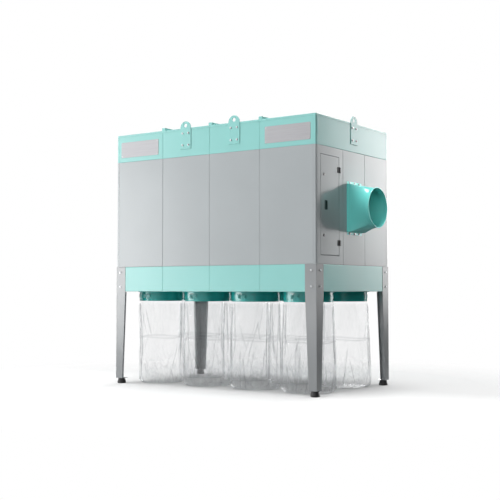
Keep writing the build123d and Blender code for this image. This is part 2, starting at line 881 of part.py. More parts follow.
cage_outside = sleeve_inside - cage_wire_gap
cage_radius = cage_outside - 2 * cage_wire_radius
cage_top = sheet_high + sleeve_flange_height
cage_bottom = sleeve_bottom + sleeve_wall + cage_wire_gap
with BuildPart() as cage:
    with BuildSketch(Plane.XY.offset(cage_top)):
        Circle(sleeve_radius + sleeve_flange_width)
        Circle(sleeve_radius + sleeve_flange_width - cage_ring_width, mode=Mode.SUBTRACT)
    extrude(amount=cage_ring_height)
    with BuildSketch(Plane.XY.offset(cage_bottom)):
        Circle(cage_outside)
    extrude(amount=cage_cup_height)
    # Each wire starts inside the cup and ends inside the ring.
    with BuildSketch(Plane.XY.offset(cage_bottom + cage_cup_height / 2)):
        with PolarLocations(cage_radius, cage_wire_count):
            Circle(cage_wire_radius)
    extrude(amount=cage_top + cage_ring_height / 2 - cage_bottom - cage_cup_height / 2)

sleeve_places = [Pos(x, y, 0) for x, y in sleeve_grid]
for name, piece in (("filter_sleeves", sleeve.part), ("sleeve_cages", cage.part)):
    with BuildPart() as group:
        with Locations(*sleeve_places):
            add(piece)
    write_piece(group, name)

tank_y = -half_depth + tank_inset
tank_level = sheet_high + tank_rise
tank_length = cabinet_length - 2 * (panel_depth + tank_end_gap)
with BuildPart() as header_tank:
    with Locations(Pos(cabinet_x, tank_y, tank_level) * Rot(0, 90, 0)):
        Cylinder(tank_radius, tank_length)
    fillet(header_tank.edges().filter_by(GeomType.CIRCLE), tank_radius / 3)
    saddle_pitch = tank_length / tank_saddle_count
    with Locations(*[(cabinet_x + (index - (tank_saddle_count - 1) / 2) * saddle_pitch, tank_y, sheet_high)
                     for index in range(tank_saddle_count)]):
        Box(
            tank_saddle_thickness,
            tank_saddle_width,
            tank_rise,
            align=(Align.CENTER, Align.CENTER, Align.MIN),
        )
    with Locations(Pos(cabinet_x, tank_y, tank_level) * Rot(0, 90, 0)):
        Cylinder(tank_radius - tank_wall, tank_length - 2 * tank_radius, mode=Mode.SUBTRACT)
    with Locations((cabinet_x + tank_length / 4, tank_y, tank_level)):
        Cylinder(tank_drain_radius, 2 * tank_radius, align=(Align.CENTER, Align.CENTER, Align.MAX),
                 mode=Mode.SUBTRACT)
write_piece(header_tank, "header_tank")

valve_start = tank_y + tank_radius
pipe_start = valve_start + valve_length
pipe_length = fan_wall_y - pipe_end_gap - pipe_start
with BuildPart() as valve:
    with Locations(Pos(0, valve_start, tank_level) * Rot(-90, 0, 0)):
        Cylinder(valve_radius, valve_length, align=(Align.CENTER, Align.CENTER, Align.MIN))
    with Locations((0, valve_start + valve_length / 2, tank_level)):
        Cylinder(valve_coil_radius, valve_radius + valve_coil_height,
                 align=(Align.CENTER, Align.CENTER, Align.MIN))
    with Locations(Pos(0, pipe_start, tank_level) * Rot(90, 0, 0)):
        Cylinder(pipe_radius - pipe_wall, valve_length / 2, align=(Align.CENTER, Align.CENTER, Align.MIN),
                 mode=Mode.SUBTRACT)

with BuildPart() as blow_pipe:
    with Locations(Pos(0, pipe_start, tank_level) * Rot(-90, 0, 0)):
        Cylinder(pipe_radius, pipe_length, align=(Align.CENTER, Align.CENTER, Align.MIN))
    with Locations(*[(0, y, tank_level) for y in sleeve_ys]):
        Cylinder(nozzle_radius, nozzle_drop, align=(Align.CENTER, Align.CENTER, Align.MAX))
    with Locations((0, pipe_start + pipe_length - pipe_bracket_thickness / 2, sheet_high)):
        Box(pipe_bracket_width, pipe_bracket_thickness, tank_rise,
            align=(Align.CENTER, Align.CENTER, Align.MIN))
    with Locations(Pos(0, pipe_start, tank_level) * Rot(-90, 0, 0)):
        Cylinder(pipe_radius - pipe_wall, pipe_length - 2 * pipe_bracket_thickness,
                 align=(Align.CENTER, Align.CENTER, Align.MIN), mode=Mode.SUBTRACT)
    with Locations(*[(0, y, tank_level) for y in sleeve_ys]):
        Cylinder(nozzle_radius - pipe_wall, 2 * nozzle_drop,
                 align=(Align.CENTER, Align.CENTER, Align.MAX), mode=Mode.SUBTRACT)

for name, piece in (("pulse_valves", valve.part), ("blow_pipes", blow_pipe.part)):
    with BuildPart() as group:
        with Locations(*[Pos(x, 0, 0) for x in sleeve_xs]):
            add(piece)
    write_piece(group, name)

# ---------------------------------------------------------------------------
# Fan walls, fans and outlet louvres
# ---------------------------------------------------------------------------

fan_roof = cabinet_top - panel_sheet
fan_level = (sheet_high + fan_roof) / 2
fan_end = fan_gap + fan_width + fan_plate
fan_walls_row = []
for centre, (low, high) in zip(module_centres, modules):
    low_x = max(cabinet_x + low + seal_gap / 2 + fold_radius, plan_low_x)
    high_x = min(cabinet_x + high - seal_gap / 2 - fold_radius, plan_high_x)
    middle = (low_x + high_x) / 2
    eye = (cabinet_x + centre - middle, 0, fan_eye_radius - fan_eye_clearance)
    wall = folded_tray(high_x - low_x, fan_roof - sheet_high, depth=fan_wall_flange, holes=[eye])
    fan_walls_row.append(Pos(middle, fan_wall_y, fan_level) * wall)
write_trays("fan_walls", fan_walls_row)

with BuildPart() as impeller:
    with BuildSketch(Plane.XZ.offset(-fan_gap)):
        Circle(fan_radius)
        Circle(fan_eye_radius, mode=Mode.SUBTRACT)
    extrude(amount=-fan_plate)
    with BuildSketch(Plane.XZ.offset(-fan_gap - fan_width)):
        Circle(fan_radius)
    extrude(amount=-fan_plate)
    blade_middle = (fan_radius + fan_eye_radius) / 2
    with BuildSketch(Plane.XZ.offset(-fan_gap)):
        with PolarLocations(blade_middle, fan_blade_count):
            Rectangle(fan_radius - fan_eye_radius, fan_blade_thickness, rotation=fan_blade_turn)
    extrude(amount=-fan_width - fan_plate)
    with BuildSketch(Plane.XZ.offset(-fan_end + fan_hub_length)):
        Circle(fan_hub_radius)
    extrude(amount=-fan_hub_length)
    with BuildSketch(Plane.XZ.offset(-fan_end)):
        Circle(shaft_radius)
    extrude(amount=-(motor_gap + motor_plate + motor_shaft_depth - end_play))

motor_front = fan_end + motor_gap
rod_offset = motor_plate_size / 2 - motor_rod_inset
with BuildPart() as motor:
    with BuildSketch(Plane.XZ.offset(-motor_front)):
        RectangleRounded(motor_plate_size, motor_plate_size, motor_rod_inset)
    extrude(amount=-motor_plate)
    with BuildSketch(Plane.XZ.offset(-motor_front - motor_plate)):
        Circle(motor_radius)
    extrude(amount=-motor_length)
    fillet(motor.faces().sort_by(Axis.Y)[-1].edges(), motor_radius / 6)
    with BuildSketch(Plane.XZ.offset(-panel_sheet)):
        with GridLocations(2 * rod_offset, 2 * rod_offset, 2, 2):
            Circle(motor_rod_radius)
    extrude(amount=-(motor_front - panel_sheet))
    with BuildSketch(Plane.XZ.offset(-motor_front)):
        Circle(shaft_radius + running_clearance)
    extrude(amount=-(motor_plate + motor_shaft_depth), mode=Mode.SUBTRACT)

fan_places = [Pos(cabinet_x + centre, fan_wall_y, fan_level) for centre in module_centres]
for index, place in enumerate(fan_places):
    with BuildPart() as fan_impeller:
        with Locations(place):
            add(impeller.part)
    write_piece(fan_impeller, f"fan_impeller_{index + 1}")
with BuildPart() as fan_motors:
    with Locations(*fan_places):
        add(motor.part)
write_piece(fan_motors, "fan_motors")

louvre_pitch = louvre_height / louvre_blade_count
with BuildPart() as louvre:
    ring_width = louvre_width - 2 * louvre_clearance
    ring_height = louvre_height - 2 * louvre_clearance
    with BuildSketch(Plane.XZ):
        Rectangle(louvre_width + 2 * louvre_flange, louvre_height + 2 * louvre_flange)
        Rectangle(ring_width - 2 * louvre_sheet, ring_height - 2 * louvre_sheet, mode=Mode.SUBTRACT)
    extrude(amount=louvre_sheet)
    with BuildSketch(Plane.XZ):
        Rectangle(ring_width, ring_height)
        Rectangle(ring_width - 2 * louvre_sheet, ring_height - 2 * louvre_sheet, mode=Mode.SUBTRACT)
    extrude(amount=-louvre_depth)
    blade_rises = [(index - (louvre_blade_count - 1) / 2) * louvre_pitch for index in range(louvre_blade_count)]
    with Locations(*[Pos(0, louvre_depth / 2, rise) * Rot(45, 0, 0) for rise in blade_rises]):
        Box(ring_width - louvre_sheet, louvre_depth, louvre_sheet / 2)

with BuildPart() as outlet_louvres:
    with Locations(*[on_side(REAR, centre, outlet_level) for centre in plate_modules]):
        add(louvre.part)
write_piece(outlet_louvres, "outlet_louvres")

# ---------------------------------------------------------------------------
# Access door in the front bay of the inlet end
# ---------------------------------------------------------------------------

door_low = -half_depth + door_edge_front
door_high = -half_depth + bay_widths[0] - door_edge_rear
door_width = door_high - door_low
door_height = wall_top - base_top - door_edge_top - door_edge_bottom
door_along = (door_low + door_high) / 2
door_level = (wall_top - door_edge_top + base_top + door_edge_bottom) / 2
window_width = door_width + 2 * door_gap
window_height = door_height + 2 * door_gap
door_depth = panel_depth - panel_sheet - gasket_thickness - gasket_clearance
door_place = on_side(RIGHT, door_along, door_level)
lock_along = -door_width / 2 + lock_inset
lock_rises = {"upper": door_height / 2 - lock_margin, "lower": -door_height / 2 + lock_margin}
hinge_rises = (door_height / 2 - hinge_margin, -door_height / 2 + hinge_margin)
hinge_along = door_width / 2 + door_gap / 2
pull_along = -door_width / 2 + pull_inset
cup_width = pull_width - 2 * pull_flange
cup_height = pull_height - 2 * pull_flange

with BuildPart() as door_frame:
    add(tray_row(RIGHT, end_row[:1], base_top, wall_top,
                 windows=[(door_along, door_level, window_width, window_height)])[0])
    with Locations(door_place):
        Box(window_width + 2 * panel_sheet, panel_depth, window_height + 2 * panel_sheet,
            align=(Align.CENTER, Align.MIN, Align.CENTER))
        Box(window_width, 2 * (panel_depth - panel_sheet), window_height, mode=Mode.SUBTRACT)
        Box(window_width - 2 * door_lip, 4 * panel_depth, window_height - 2 * door_lip, mode=Mode.SUBTRACT)
write_piece(door_frame, "door_frame")

with BuildPart() as access_door:
    with Locations(door_place):
        add(folded_tray(
            door_width,
            door_height,
            depth=door_depth,
            holes=[(lock_along, rise, lock_body_radius + running_clearance) for rise in lock_rises.values()],
            windows=[(pull_along, 0, cup_width + 2 * pull_clearance, cup_height + 2 * pull_clearance)],
        ))
write_piece(access_door, "access_door")

gasket_back = panel_depth - panel_sheet
gasket_front = door_depth + gasket_clearance
with BuildPart() as door_gasket:
    with Locations(door_place * Pos(0, (gasket_front + gasket_back) / 2, 0)):
        Box(door_width, gasket_back - gasket_front, door_height)
        Box(window_width - 2 * door_lip, panel_depth, window_height - 2 * door_lip, mode=Mode.SUBTRACT)
write_piece(door_gasket, "door_gasket")

with BuildPart() as pull:
    with BuildSketch(Plane.XZ):
        RectangleRounded(pull_width, pull_height, 2 * pull_flange)
    extrude(amount=pull_flange_height)
    chamfer(pull.faces().sort_by(Axis.Y)[0].edges(), pull_flange_height / 2)
    with BuildSketch(Plane.XZ):
        RectangleRounded(cup_width, cup_height, pull_flange)
    extrude(amount=-pull_depth)
    with BuildSketch(Plane.XZ.offset(-(pull_depth - pull_wall))):
        RectangleRounded(cup_width - 2 * pull_wall, cup_height - 2 * pull_wall, pull_flange / 2)
    extrude(amount=pull_depth - pull_wall, mode=Mode.SUBTRACT)
    with BuildSketch(Plane.XZ):
        with Locations((pull_hood / 2, 0)):
            Rectangle(cup_width - 2 * pull_wall - pull_hood, cup_height - 2 * pull_wall)
    extrude(amount=2 * pull_flange_height, mode=Mode.SUBTRACT)
with BuildPart() as door_pull:
    with Locations(door_place * Pos(pull_along, 0, 0)):
        add(pull.part)
write_piece(door_pull, "door_pull")

leaf_start = hinge_knuckle_radius + hinge_leaf_clearance
hinge_axis_rise = hinge_knuckle_radius + hinge_stand
knuckle_split = hinge_middle / 2 + end_play
with BuildPart() as moving_leaf:
    with Locations((-leaf_start - hinge_leaf_width / 2, -hinge_leaf_sheet / 2, 0)):
        Box(hinge_leaf_width, hinge_leaf_sheet, hinge_height)
    with Locations((-leaf_start / 2, -hinge_axis_rise / 2, 0)):
        Box(leaf_start, hinge_axis_rise - 2 * end_play, hinge_middle)
    with Locations((0, -hinge_axis_rise, 0)):
        Cylinder(hinge_knuckle_radius, hinge_middle)
        Cylinder(hinge_pin_radius + running_clearance, hinge_height, mode=Mode.SUBTRACT)

with BuildPart() as fixed_leaf:
    with Locations((leaf_start + hinge_leaf_width / 2, -hinge_leaf_sheet / 2, 0)):
        Box(hinge_leaf_width, hinge_leaf_sheet, hinge_height)
    with Locations((leaf_start / 2, -hinge_axis_rise / 2, 0)):
        Box(leaf_start, hinge_axis_rise - 2 * end_play, hinge_height)
    with Locations((0, -hinge_axis_rise, 0)):
        Cylinder(hinge_knuckle_radius, hinge_height)
        Cylinder(leaf_start, 2 * knuckle_split, mode=Mode.SUBTRACT)
        Cylinder(hinge_pin_radius, hinge_height)

hinge_places = [door_place * Pos(hinge_along, 0, rise) for rise in hinge_rises]
for name, piece in (("door_hinge_leaves", moving_leaf.part), ("frame_hinge_leaves", fixed_leaf.part)):
    with BuildPart() as leaves:
        with Locations(*hinge_places):
            add(piece)
    write_piece(leaves, name)

cam_front = panel_depth + lock_cam_gap
with BuildPart() as quarter_turn:
    with BuildSketch(Plane.XZ.offset(lock_face_gap)):
        Circle(lock_face_radius)
    extrude(amount=lock_face_height)
    chamfer(quarter_turn.faces().sort_by(Axis.Y)[0].edges(), 1.5)
    with BuildSketch(Plane.XZ.offset(lock_face_gap + lock_face_height)):
        Rectangle(lock_key_size, lock_key_size)
    extrude(amount=-lock_key_depth, mode=Mode.SUBTRACT)
    with BuildSketch(Plane.XZ.offset(lock_face_gap)):
        Circle(lock_body_radius)
    extrude(amount=-(cam_front + lock_cam_sheet + lock_face_gap))
    with BuildSketch(Plane.XZ.offset(-cam_front)):
        with Locations((0, (lock_cam_length - lock_cam_width) / 2)):
            SlotOverall(lock_cam_length, lock_cam_width, rotation=90)
    extrude(amount=-lock_cam_sheet)

for name, rise in lock_rises.items():
    with BuildPart() as lock:
        with Locations(door_place * Pos(lock_along, 0, rise)):
            add(quarter_turn.part)
    write_piece(lock, f"lock_{name}")

# ---------------------------------------------------------------------------
# Inlet panel, its transition and the baffle behind it
# ---------------------------------------------------------------------------

clear_width = inlet_width - 2 * inlet_sheet
clear_height = inlet_height - 2 * inlet_sheet
write_trays(
    "inlet_panel",
    tray_row(
        RIGHT,
        end_row[1:2],
        base_top,
        wall_top,
        holes=[(along, level, bolt_hole) for along, level in inlet_bolt_places],
        windows=[(0, inlet_level, clear_width, clear_height)],
    ),
)

taper = inlet_reach - inlet_straight - inlet_spigot
inner_half_width, inner_half_height = clear_width / 2, clear_height / 2
inner_rectangle = (-inner_half_width, inner_half_width, -inner_half_height, inner_half_height)
inner_circle = (0, 0, inlet_radius - inlet_sheet)
taper_plane = Plane.XZ.offset(inlet_straight)
taper_shell = transition(
    taper_plane, taper, inner_rectangle, inner_circle, inlet_corner, inlet_slit, inlet_sheet)
taper_bore = transition(taper_plane, taper, inner_rectangle, inner_circle, inlet_corner, inlet_slit, 0)
frame_width = inlet_width + 2 * inlet_frame_proud
frame_height = inlet_height + 2 * inlet_frame_proud
spigot_start = inlet_straight + taper
with BuildPart() as inlet:
    with BuildSketch(Plane.XZ):
        Rectangle(inlet_width, inlet_height)
    extrude(amount=inlet_straight)
    with BuildSketch(Plane.XZ):
        Rectangle(frame_width, frame_height)
    extrude(amount=inlet_frame_depth)
    with BuildSketch(Plane.XZ):
        Rectangle(inlet_width, inlet_height + 2 * inlet_flange_height)
        with Locations(*[(along, level - inlet_level) for along, level in inlet_bolt_places]):
            Circle(bolt_hole, mode=Mode.SUBTRACT)
    extrude(amount=inlet_flange_sheet)
    add(taper_shell)
    with BuildSketch(Plane.XZ.offset(spigot_start)):
        Circle(inlet_radius)
    extrude(amount=inlet_spigot)
    with BuildSketch(Plane.XZ.offset(inlet_reach - inlet_bead_width)):
        Circle(inlet_radius + inlet_bead)
    extrude(amount=inlet_bead_width)
    fillet(inlet.edges().filter_by(GeomType.CIRCLE).filter_by(
        lambda edge: edge.radius > inlet_radius + inlet_bead / 2), inlet_bead * 0.8)
    with BuildSketch(Plane.XZ):
        Rectangle(clear_width, clear_height)
    extrude(amount=inlet_straight, mode=Mode.SUBTRACT)
    add(taper_bore, mode=Mode.SUBTRACT)
    with BuildSketch(Plane.XZ.offset(spigot_start)):
        Circle(inlet_radius - inlet_sheet)
    extrude(amount=inlet_spigot, mode=Mode.SUBTRACT)
with BuildPart() as inlet_transition:
    with Locations(on_side(RIGHT, 0, inlet_level)):
        add(inlet.part)
write_piece(inlet_transition, "inlet_transition")

with BuildPart() as inlet_baffle:
    with Locations(on_side(RIGHT, 0, inlet_level)):
        with Locations((0, baffle_distance, 0)):
            Box(inlet_width + 2 * baffle_overlap, baffle_sheet, inlet_height + 2 * baffle_overlap)
        rod_x = inlet_width / 2 + baffle_rod_offset
        rod_z = inlet_height / 2 + baffle_rod_offset
        with Locations(*[Pos(x, panel_sheet, z) * Rot(-90, 0, 0) for x in (-rod_x, rod_x) for z in (-rod_z, rod_z)]):
            Cylinder(baffle_rod_radius, baffle_distance - panel_sheet,
                     align=(Align.CENTER, Align.CENTER, Align.MIN))
write_piece(inlet_baffle, "inlet_baffle")
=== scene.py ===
"""Looks of a free-standing modular dust collector.

Four filter modules stand on folded legs, with a duct inlet and an access door
on one end and eight clear film bags clamped under the funnels.  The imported
model is the fixed frame; this file finishes its sheet metal, and makes the film
bags and the felt sleeves that stand for its soft solids.
"""

import json
import logging
import math
from collections.abc import Callable, Iterator
from contextlib import contextmanager
from dataclasses import dataclass, field
from enum import Enum

import bmesh
import bpy
import numpy as np
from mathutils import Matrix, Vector, noise


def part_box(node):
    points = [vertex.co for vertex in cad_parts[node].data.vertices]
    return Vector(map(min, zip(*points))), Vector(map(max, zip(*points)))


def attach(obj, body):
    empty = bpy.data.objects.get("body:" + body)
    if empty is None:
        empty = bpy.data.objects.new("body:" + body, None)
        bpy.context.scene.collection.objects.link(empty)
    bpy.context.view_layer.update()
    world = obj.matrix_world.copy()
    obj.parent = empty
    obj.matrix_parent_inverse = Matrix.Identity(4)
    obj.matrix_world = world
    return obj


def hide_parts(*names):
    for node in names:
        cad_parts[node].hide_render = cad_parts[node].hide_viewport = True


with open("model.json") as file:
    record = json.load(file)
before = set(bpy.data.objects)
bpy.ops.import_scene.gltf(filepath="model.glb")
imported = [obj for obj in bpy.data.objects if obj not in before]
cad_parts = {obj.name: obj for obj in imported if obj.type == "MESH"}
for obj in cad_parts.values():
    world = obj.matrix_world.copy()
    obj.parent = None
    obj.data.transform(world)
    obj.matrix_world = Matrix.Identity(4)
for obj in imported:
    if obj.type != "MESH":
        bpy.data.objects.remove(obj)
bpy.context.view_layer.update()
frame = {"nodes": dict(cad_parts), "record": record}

LOG = logging.getLogger("dust_collector")

Colour = tuple[float, float, float]
Point = tuple[float, float, float]


class Slot(Enum):
    """The finishes that the record names."""

    PANEL_GREY = "panel_grey"
    LEG_GREY = "leg_grey"
    BAND_TEAL = "band_teal"
    DEEP_TEAL = "deep_teal"
    NAMEPLATE = "nameplate_grey"
    ZINC = "zinc"
    GALVANISED = "galvanised"
    RUBBER = "rubber_black"
    PLASTIC = "plastic_black"
    FILM = "clear_film"
    FELT = "filter_felt"
    MOTOR_GREY = "motor_grey"


# ---------------------------------------------------------------------------
# Finishes
# ---------------------------------------------------------------------------


class NodeSheet:
    """The node tree of one finish, with short calls for the nodes it needs."""

    def __init__(self, name: str) -> None:
        """Start an empty tree.

        Args:
            name: What the material is called.
        """
        self.material = bpy.data.materials.new(name)
        self.material.use_nodes = True
        self.tree = self.material.node_tree
        self.tree.nodes.clear()
        self.place = self.node("ShaderNodeTexCoord").outputs["Object"]

    def node(self, kind: str, **settings: object) -> bpy.types.Node:
        """Add one node.

        Args:
            kind: Blender's name of the node type.
            **settings: Attributes of the node and their values.

        Returns:
            The new node.
        """
        made = self.tree.nodes.new(kind)
        for name, value in settings.items():
            setattr(made, name, value)
        return made

    def join(self, source: bpy.types.NodeSocket, target: bpy.types.NodeSocket) -> None:
        """Link an output to an input."""
        self.tree.links.new(source, target)

    def stretched(self, scale: Point) -> bpy.types.NodeSocket:
        """The piece's own coordinates, stretched along its axes.

        Args:
            scale: A factor for each axis.

        Returns:
            The stretched coordinates.
        """
        mapping = self.node("ShaderNodeMapping")
        mapping.inputs["Scale"].default_value = scale
        self.join(self.place, mapping.inputs["Vector"])
        return mapping.outputs["Vector"]

    def grain(
        self, size: float, detail: float = 3.0, stretch: Point = (1.0, 1.0, 1.0), swirl: float = 0.0
    ) -> bpy.types.NodeSocket:
        """Soft cloudy noise.

        Args:
            size: How wide one cloud is, in metres.
            detail: How many finer layers it has.
            stretch: A factor for each axis.
            swirl: How much the clouds are twisted.

        Returns:
            A value from about 0.3 to 0.7.
        """
        made = self.node("ShaderNodeTexNoise")
        made.inputs["Scale"].default_value = 1.0 / size
        made.inputs["Detail"].default_value = detail
        made.inputs["Distortion"].default_value = swirl
        self.join(self.stretched(stretch), made.inputs["Vector"])
        return made.outputs[0]

    def cells(self, size: float, output: str = "Distance") -> bpy.types.NodeSocket:
        """Cells of a broken pattern.

        Args:
            size: How wide one cell is, in metres.
            output: Which of the pattern's outputs is wanted.

        Returns:
            That output.
        """
        made = self.node("ShaderNodeTexVoronoi")
        made.inputs["Scale"].default_value = 1.0 / size
        self.join(self.place, made.inputs["Vector"])
        return made.outputs[output]

    def spread(
        self,
        source: bpy.types.NodeSocket,
        low: float,
        high: float,
        start: float = 0.3,
        end: float = 0.7,
    ) -> bpy.types.NodeSocket:
        """Bring a value into a range.

        Args:
            source: The value.
            low: What comes out where the value is at start.
            high: What comes out where the value is at end.
            start: The value that gives low.
            end: The value that gives high.

        Returns:
            The value in its new range.
        """
        made = self.node("ShaderNodeMapRange")
        for index, value in enumerate((start, end, low, high), 1):
            made.inputs[index].default_value = value
        self.join(source, made.inputs[0])
        return made.outputs[0]

    def tone(
        self, source: bpy.types.NodeSocket, colours: list[tuple[float, Colour]]
    ) -> bpy.types.NodeSocket:
        """Turn a value into a colour.

        Args:
            source: The value.
            colours: Stops along the value, each with its colour.

        Returns:
            The colour.
        """
        made = self.node("ShaderNodeValToRGB")
        ramp = made.color_ramp
        while len(ramp.elements) < len(colours):
            ramp.elements.new(0.5)
        for element, (at, colour) in zip(ramp.elements, colours):
            element.position = at
            element.color = (*colour, 1.0)
        self.join(source, made.inputs[0])
        return made.outputs[0]

    def relief(
        self,
        height: bpy.types.NodeSocket,
        strength: float,
        depth: float,
        under: bpy.types.NodeSocket | None = None,
    ) -> bpy.types.NodeSocket:
        """Surface relief from a height.

        Args:
            height: The height pattern.
            strength: How much of it shows.
            depth: How deep it is, in metres.
            under: A coarser relief that this one lies on.

        Returns:
            The normal.
        """
        made = self.node("ShaderNodeBump")
        made.inputs["Strength"].default_value = strength
        made.inputs["Distance"].default_value = depth
        self.join(height, made.inputs["Height"])
        if under is not None:
            self.join(under, made.inputs["Normal"])
        return made.outputs[0]

    def surface(self, **values: object) -> bpy.types.Node:
        """The main shader.

        Args:
            **values: Its inputs, with underscores for spaces, as numbers, colours or sockets.

        Returns:
            The shader node.
        """
        shader = self.node("ShaderNodeBsdfPrincipled")
        for name, value in values.items():
            entry = shader.inputs[name.replace("_", " ")]
            if isinstance(value, bpy.types.NodeSocket):
                self.join(value, entry)
            else:
                entry.default_value = (*value, 1.0) if isinstance(value, tuple) else value
        return shader

    def finish(self, shader: bpy.types.Node) -> bpy.types.Material:
        """Join the last shader to the output.

        Args:
            shader: The shader that the surface shows.

        Returns:
            The finished material.
        """
        self.join(shader.outputs[0], self.node("ShaderNodeOutputMaterial").inputs["Surface"])
        return self.material


def shaded(colour: Colour, factor: float) -> Colour:
    """The colour made lighter or darker by a factor."""
    return tuple(min(1.0, channel * factor) for channel in colour)


@dataclass(frozen=True)
class PowderCoat:
    """Baked powder coat with its orange peel."""

    name: str
    colour: Colour
    roughness: float = 0.30
    level: float = 0.5
    peel_size: float = 0.0035
    peel_depth: float = 0.00012
    patch_size: float = 0.55

    def material(self) -> bpy.types.Material:
        """The coat as a material."""
        sheet = NodeSheet(self.name)
        patch = sheet.grain(self.patch_size, 2.0)
        speck = sheet.grain(0.012, 4.0)
        pale, deep = shaded(self.colour, 1.02), shaded(self.colour, 0.975)
        colour = sheet.tone(patch, [(0.30, deep), (0.70, pale)])
        peel = sheet.relief(sheet.grain(self.peel_size, 2.0), 0.35, self.peel_depth)
        wave = sheet.relief(sheet.grain(0.30, 1.0), 0.5, 0.0012, peel)
        return sheet.finish(
            sheet.surface(
                Base_Color=colour,
                Roughness=sheet.spread(speck, self.roughness - 0.03, self.roughness + 0.05),
                Specular_IOR_Level=self.level,
                Normal=wave,
            )
        )


@dataclass(frozen=True)
class PlatedSteel:
    """Zinc plate with a faint patchy bloom."""

    name: str
    colour: Colour = (0.50, 0.51, 0.53)

    def material(self) -> bpy.types.Material:
        """The plate as a material."""
        sheet = NodeSheet(self.name)
        bloom = sheet.grain(0.006, 4.0)
        return sheet.finish(
            sheet.surface(
                Base_Color=sheet.tone(
                    bloom, [(0.3, shaded(self.colour, 0.86)), (0.7, self.colour)]
                ),
                Metallic=1.0,
                Roughness=sheet.spread(bloom, 0.22, 0.40),
                Normal=sheet.relief(sheet.grain(0.0012, 2.0), 0.2, 0.00005),
            )
        )


@dataclass(frozen=True)
class GalvanisedSheet:
    """Hot-dip zinc with its flower pattern."""

    name: str
    colour: Colour = (0.60, 0.62, 0.64)
    flower_size: float = 0.022

    def material(self) -> bpy.types.Material:
        """The sheet as a material."""
        sheet = NodeSheet(self.name)
        flower = sheet.node("ShaderNodeSeparateColor")
        sheet.join(sheet.cells(self.flower_size, "Color"), flower.inputs[0])
        shade = flower.outputs[0]
        return sheet.finish(
            sheet.surface(
                Base_Color=sheet.tone(
                    shade, [(0.0, shaded(self.colour, 0.82)), (1.0, shaded(self.colour, 1.12))]
                ),
                Metallic=0.9,
                Roughness=sheet.spread(shade, 0.34, 0.52, 0.0, 1.0),
                Normal=sheet.relief(sheet.grain(0.004, 3.0), 0.15, 0.0001),
            )
        )


@dataclass(frozen=True)
class BrushedPlate:
    """Satin plate brushed along its length."""

    name: str
    colour: Colour = (0.322, 0.322, 0.336)

    def material(self) -> bpy.types.Material:
        """The plate as a material."""
        sheet = NodeSheet(self.name)
        stroke = sheet.grain(0.004, 3.0, (0.02, 1.0, 1.0))
        return sheet.finish(
            sheet.surface(
                Base_Color=sheet.tone(
                    stroke, [(0.3, shaded(self.colour, 0.93)), (0.7, shaded(self.colour, 1.06))]
                ),
                Metallic=0.35,
                Roughness=sheet.spread(stroke, 0.34, 0.46),
                Normal=sheet.relief(stroke, 0.25, 0.00006),
            )
        )


@dataclass(frozen=True)
class MouldedBlack:
    """Black rubber or plastic from a mould."""

    name: str
    colour: Colour
    roughness: float
    grain_size: float
    grain_depth: float

    def material(self) -> bpy.types.Material:
        """The moulding as a material."""
        sheet = NodeSheet(self.name)
        cloud = sheet.grain(0.05, 3.0)
        return sheet.finish(
            sheet.surface(
                Base_Color=sheet.tone(
                    cloud, [(0.3, shaded(self.colour, 0.8)), (0.7, shaded(self.colour, 1.3))]
                ),
                Roughness=sheet.spread(cloud, self.roughness - 0.06, self.roughness + 0.08),
                Normal=sheet.relief(sheet.grain(self.grain_size, 2.0), 0.5, self.grain_depth),
            )
        )


@dataclass(frozen=True)
class CastPaint:
    """Enamel over a sand casting."""

    name: str
    colour: Colour = (0.20, 0.22, 0.25)

    def material(self) -> bpy.types.Material:
        """The enamel as a material."""
        sheet = NodeSheet(self.name)
        pit = sheet.cells(0.006)
        return sheet.finish(
            sheet.surface(
                Base_Color=sheet.tone(
                    sheet.grain(0.08),
                    [(0.3, shaded(self.colour, 0.88)), (0.7, shaded(self.colour, 1.1))],
                ),
                Roughness=sheet.spread(pit, 0.36, 0.50, 0.0, 0.8),
                Normal=sheet.relief(pit, 0.4, 0.0004),
            )
        )


@dataclass(frozen=True)
class NeedleFelt:
    """White polyester felt with matted fibres."""

    name: str
    colour: Colour = (0.80, 0.79, 0.74)

    def material(self) -> bpy.types.Material:
        """The felt as a material."""
        sheet = NodeSheet(self.name)
        fibre = sheet.grain(0.0035, 5.0, (1.0, 1.0, 0.5), 1.5)
        cloud = sheet.grain(0.12, 3.0)
        return sheet.finish(
            sheet.surface(
                Base_Color=sheet.tone(
                    cloud, [(0.3, shaded(self.colour, 0.90)), (0.7, self.colour)]
                ),
                Roughness=sheet.spread(fibre, 0.88, 1.0),
                Sheen_Weight=0.25,
                Sheen_Roughness=0.5,
                Normal=sheet.relief(fibre, 0.6, 0.0008),
            )
        )


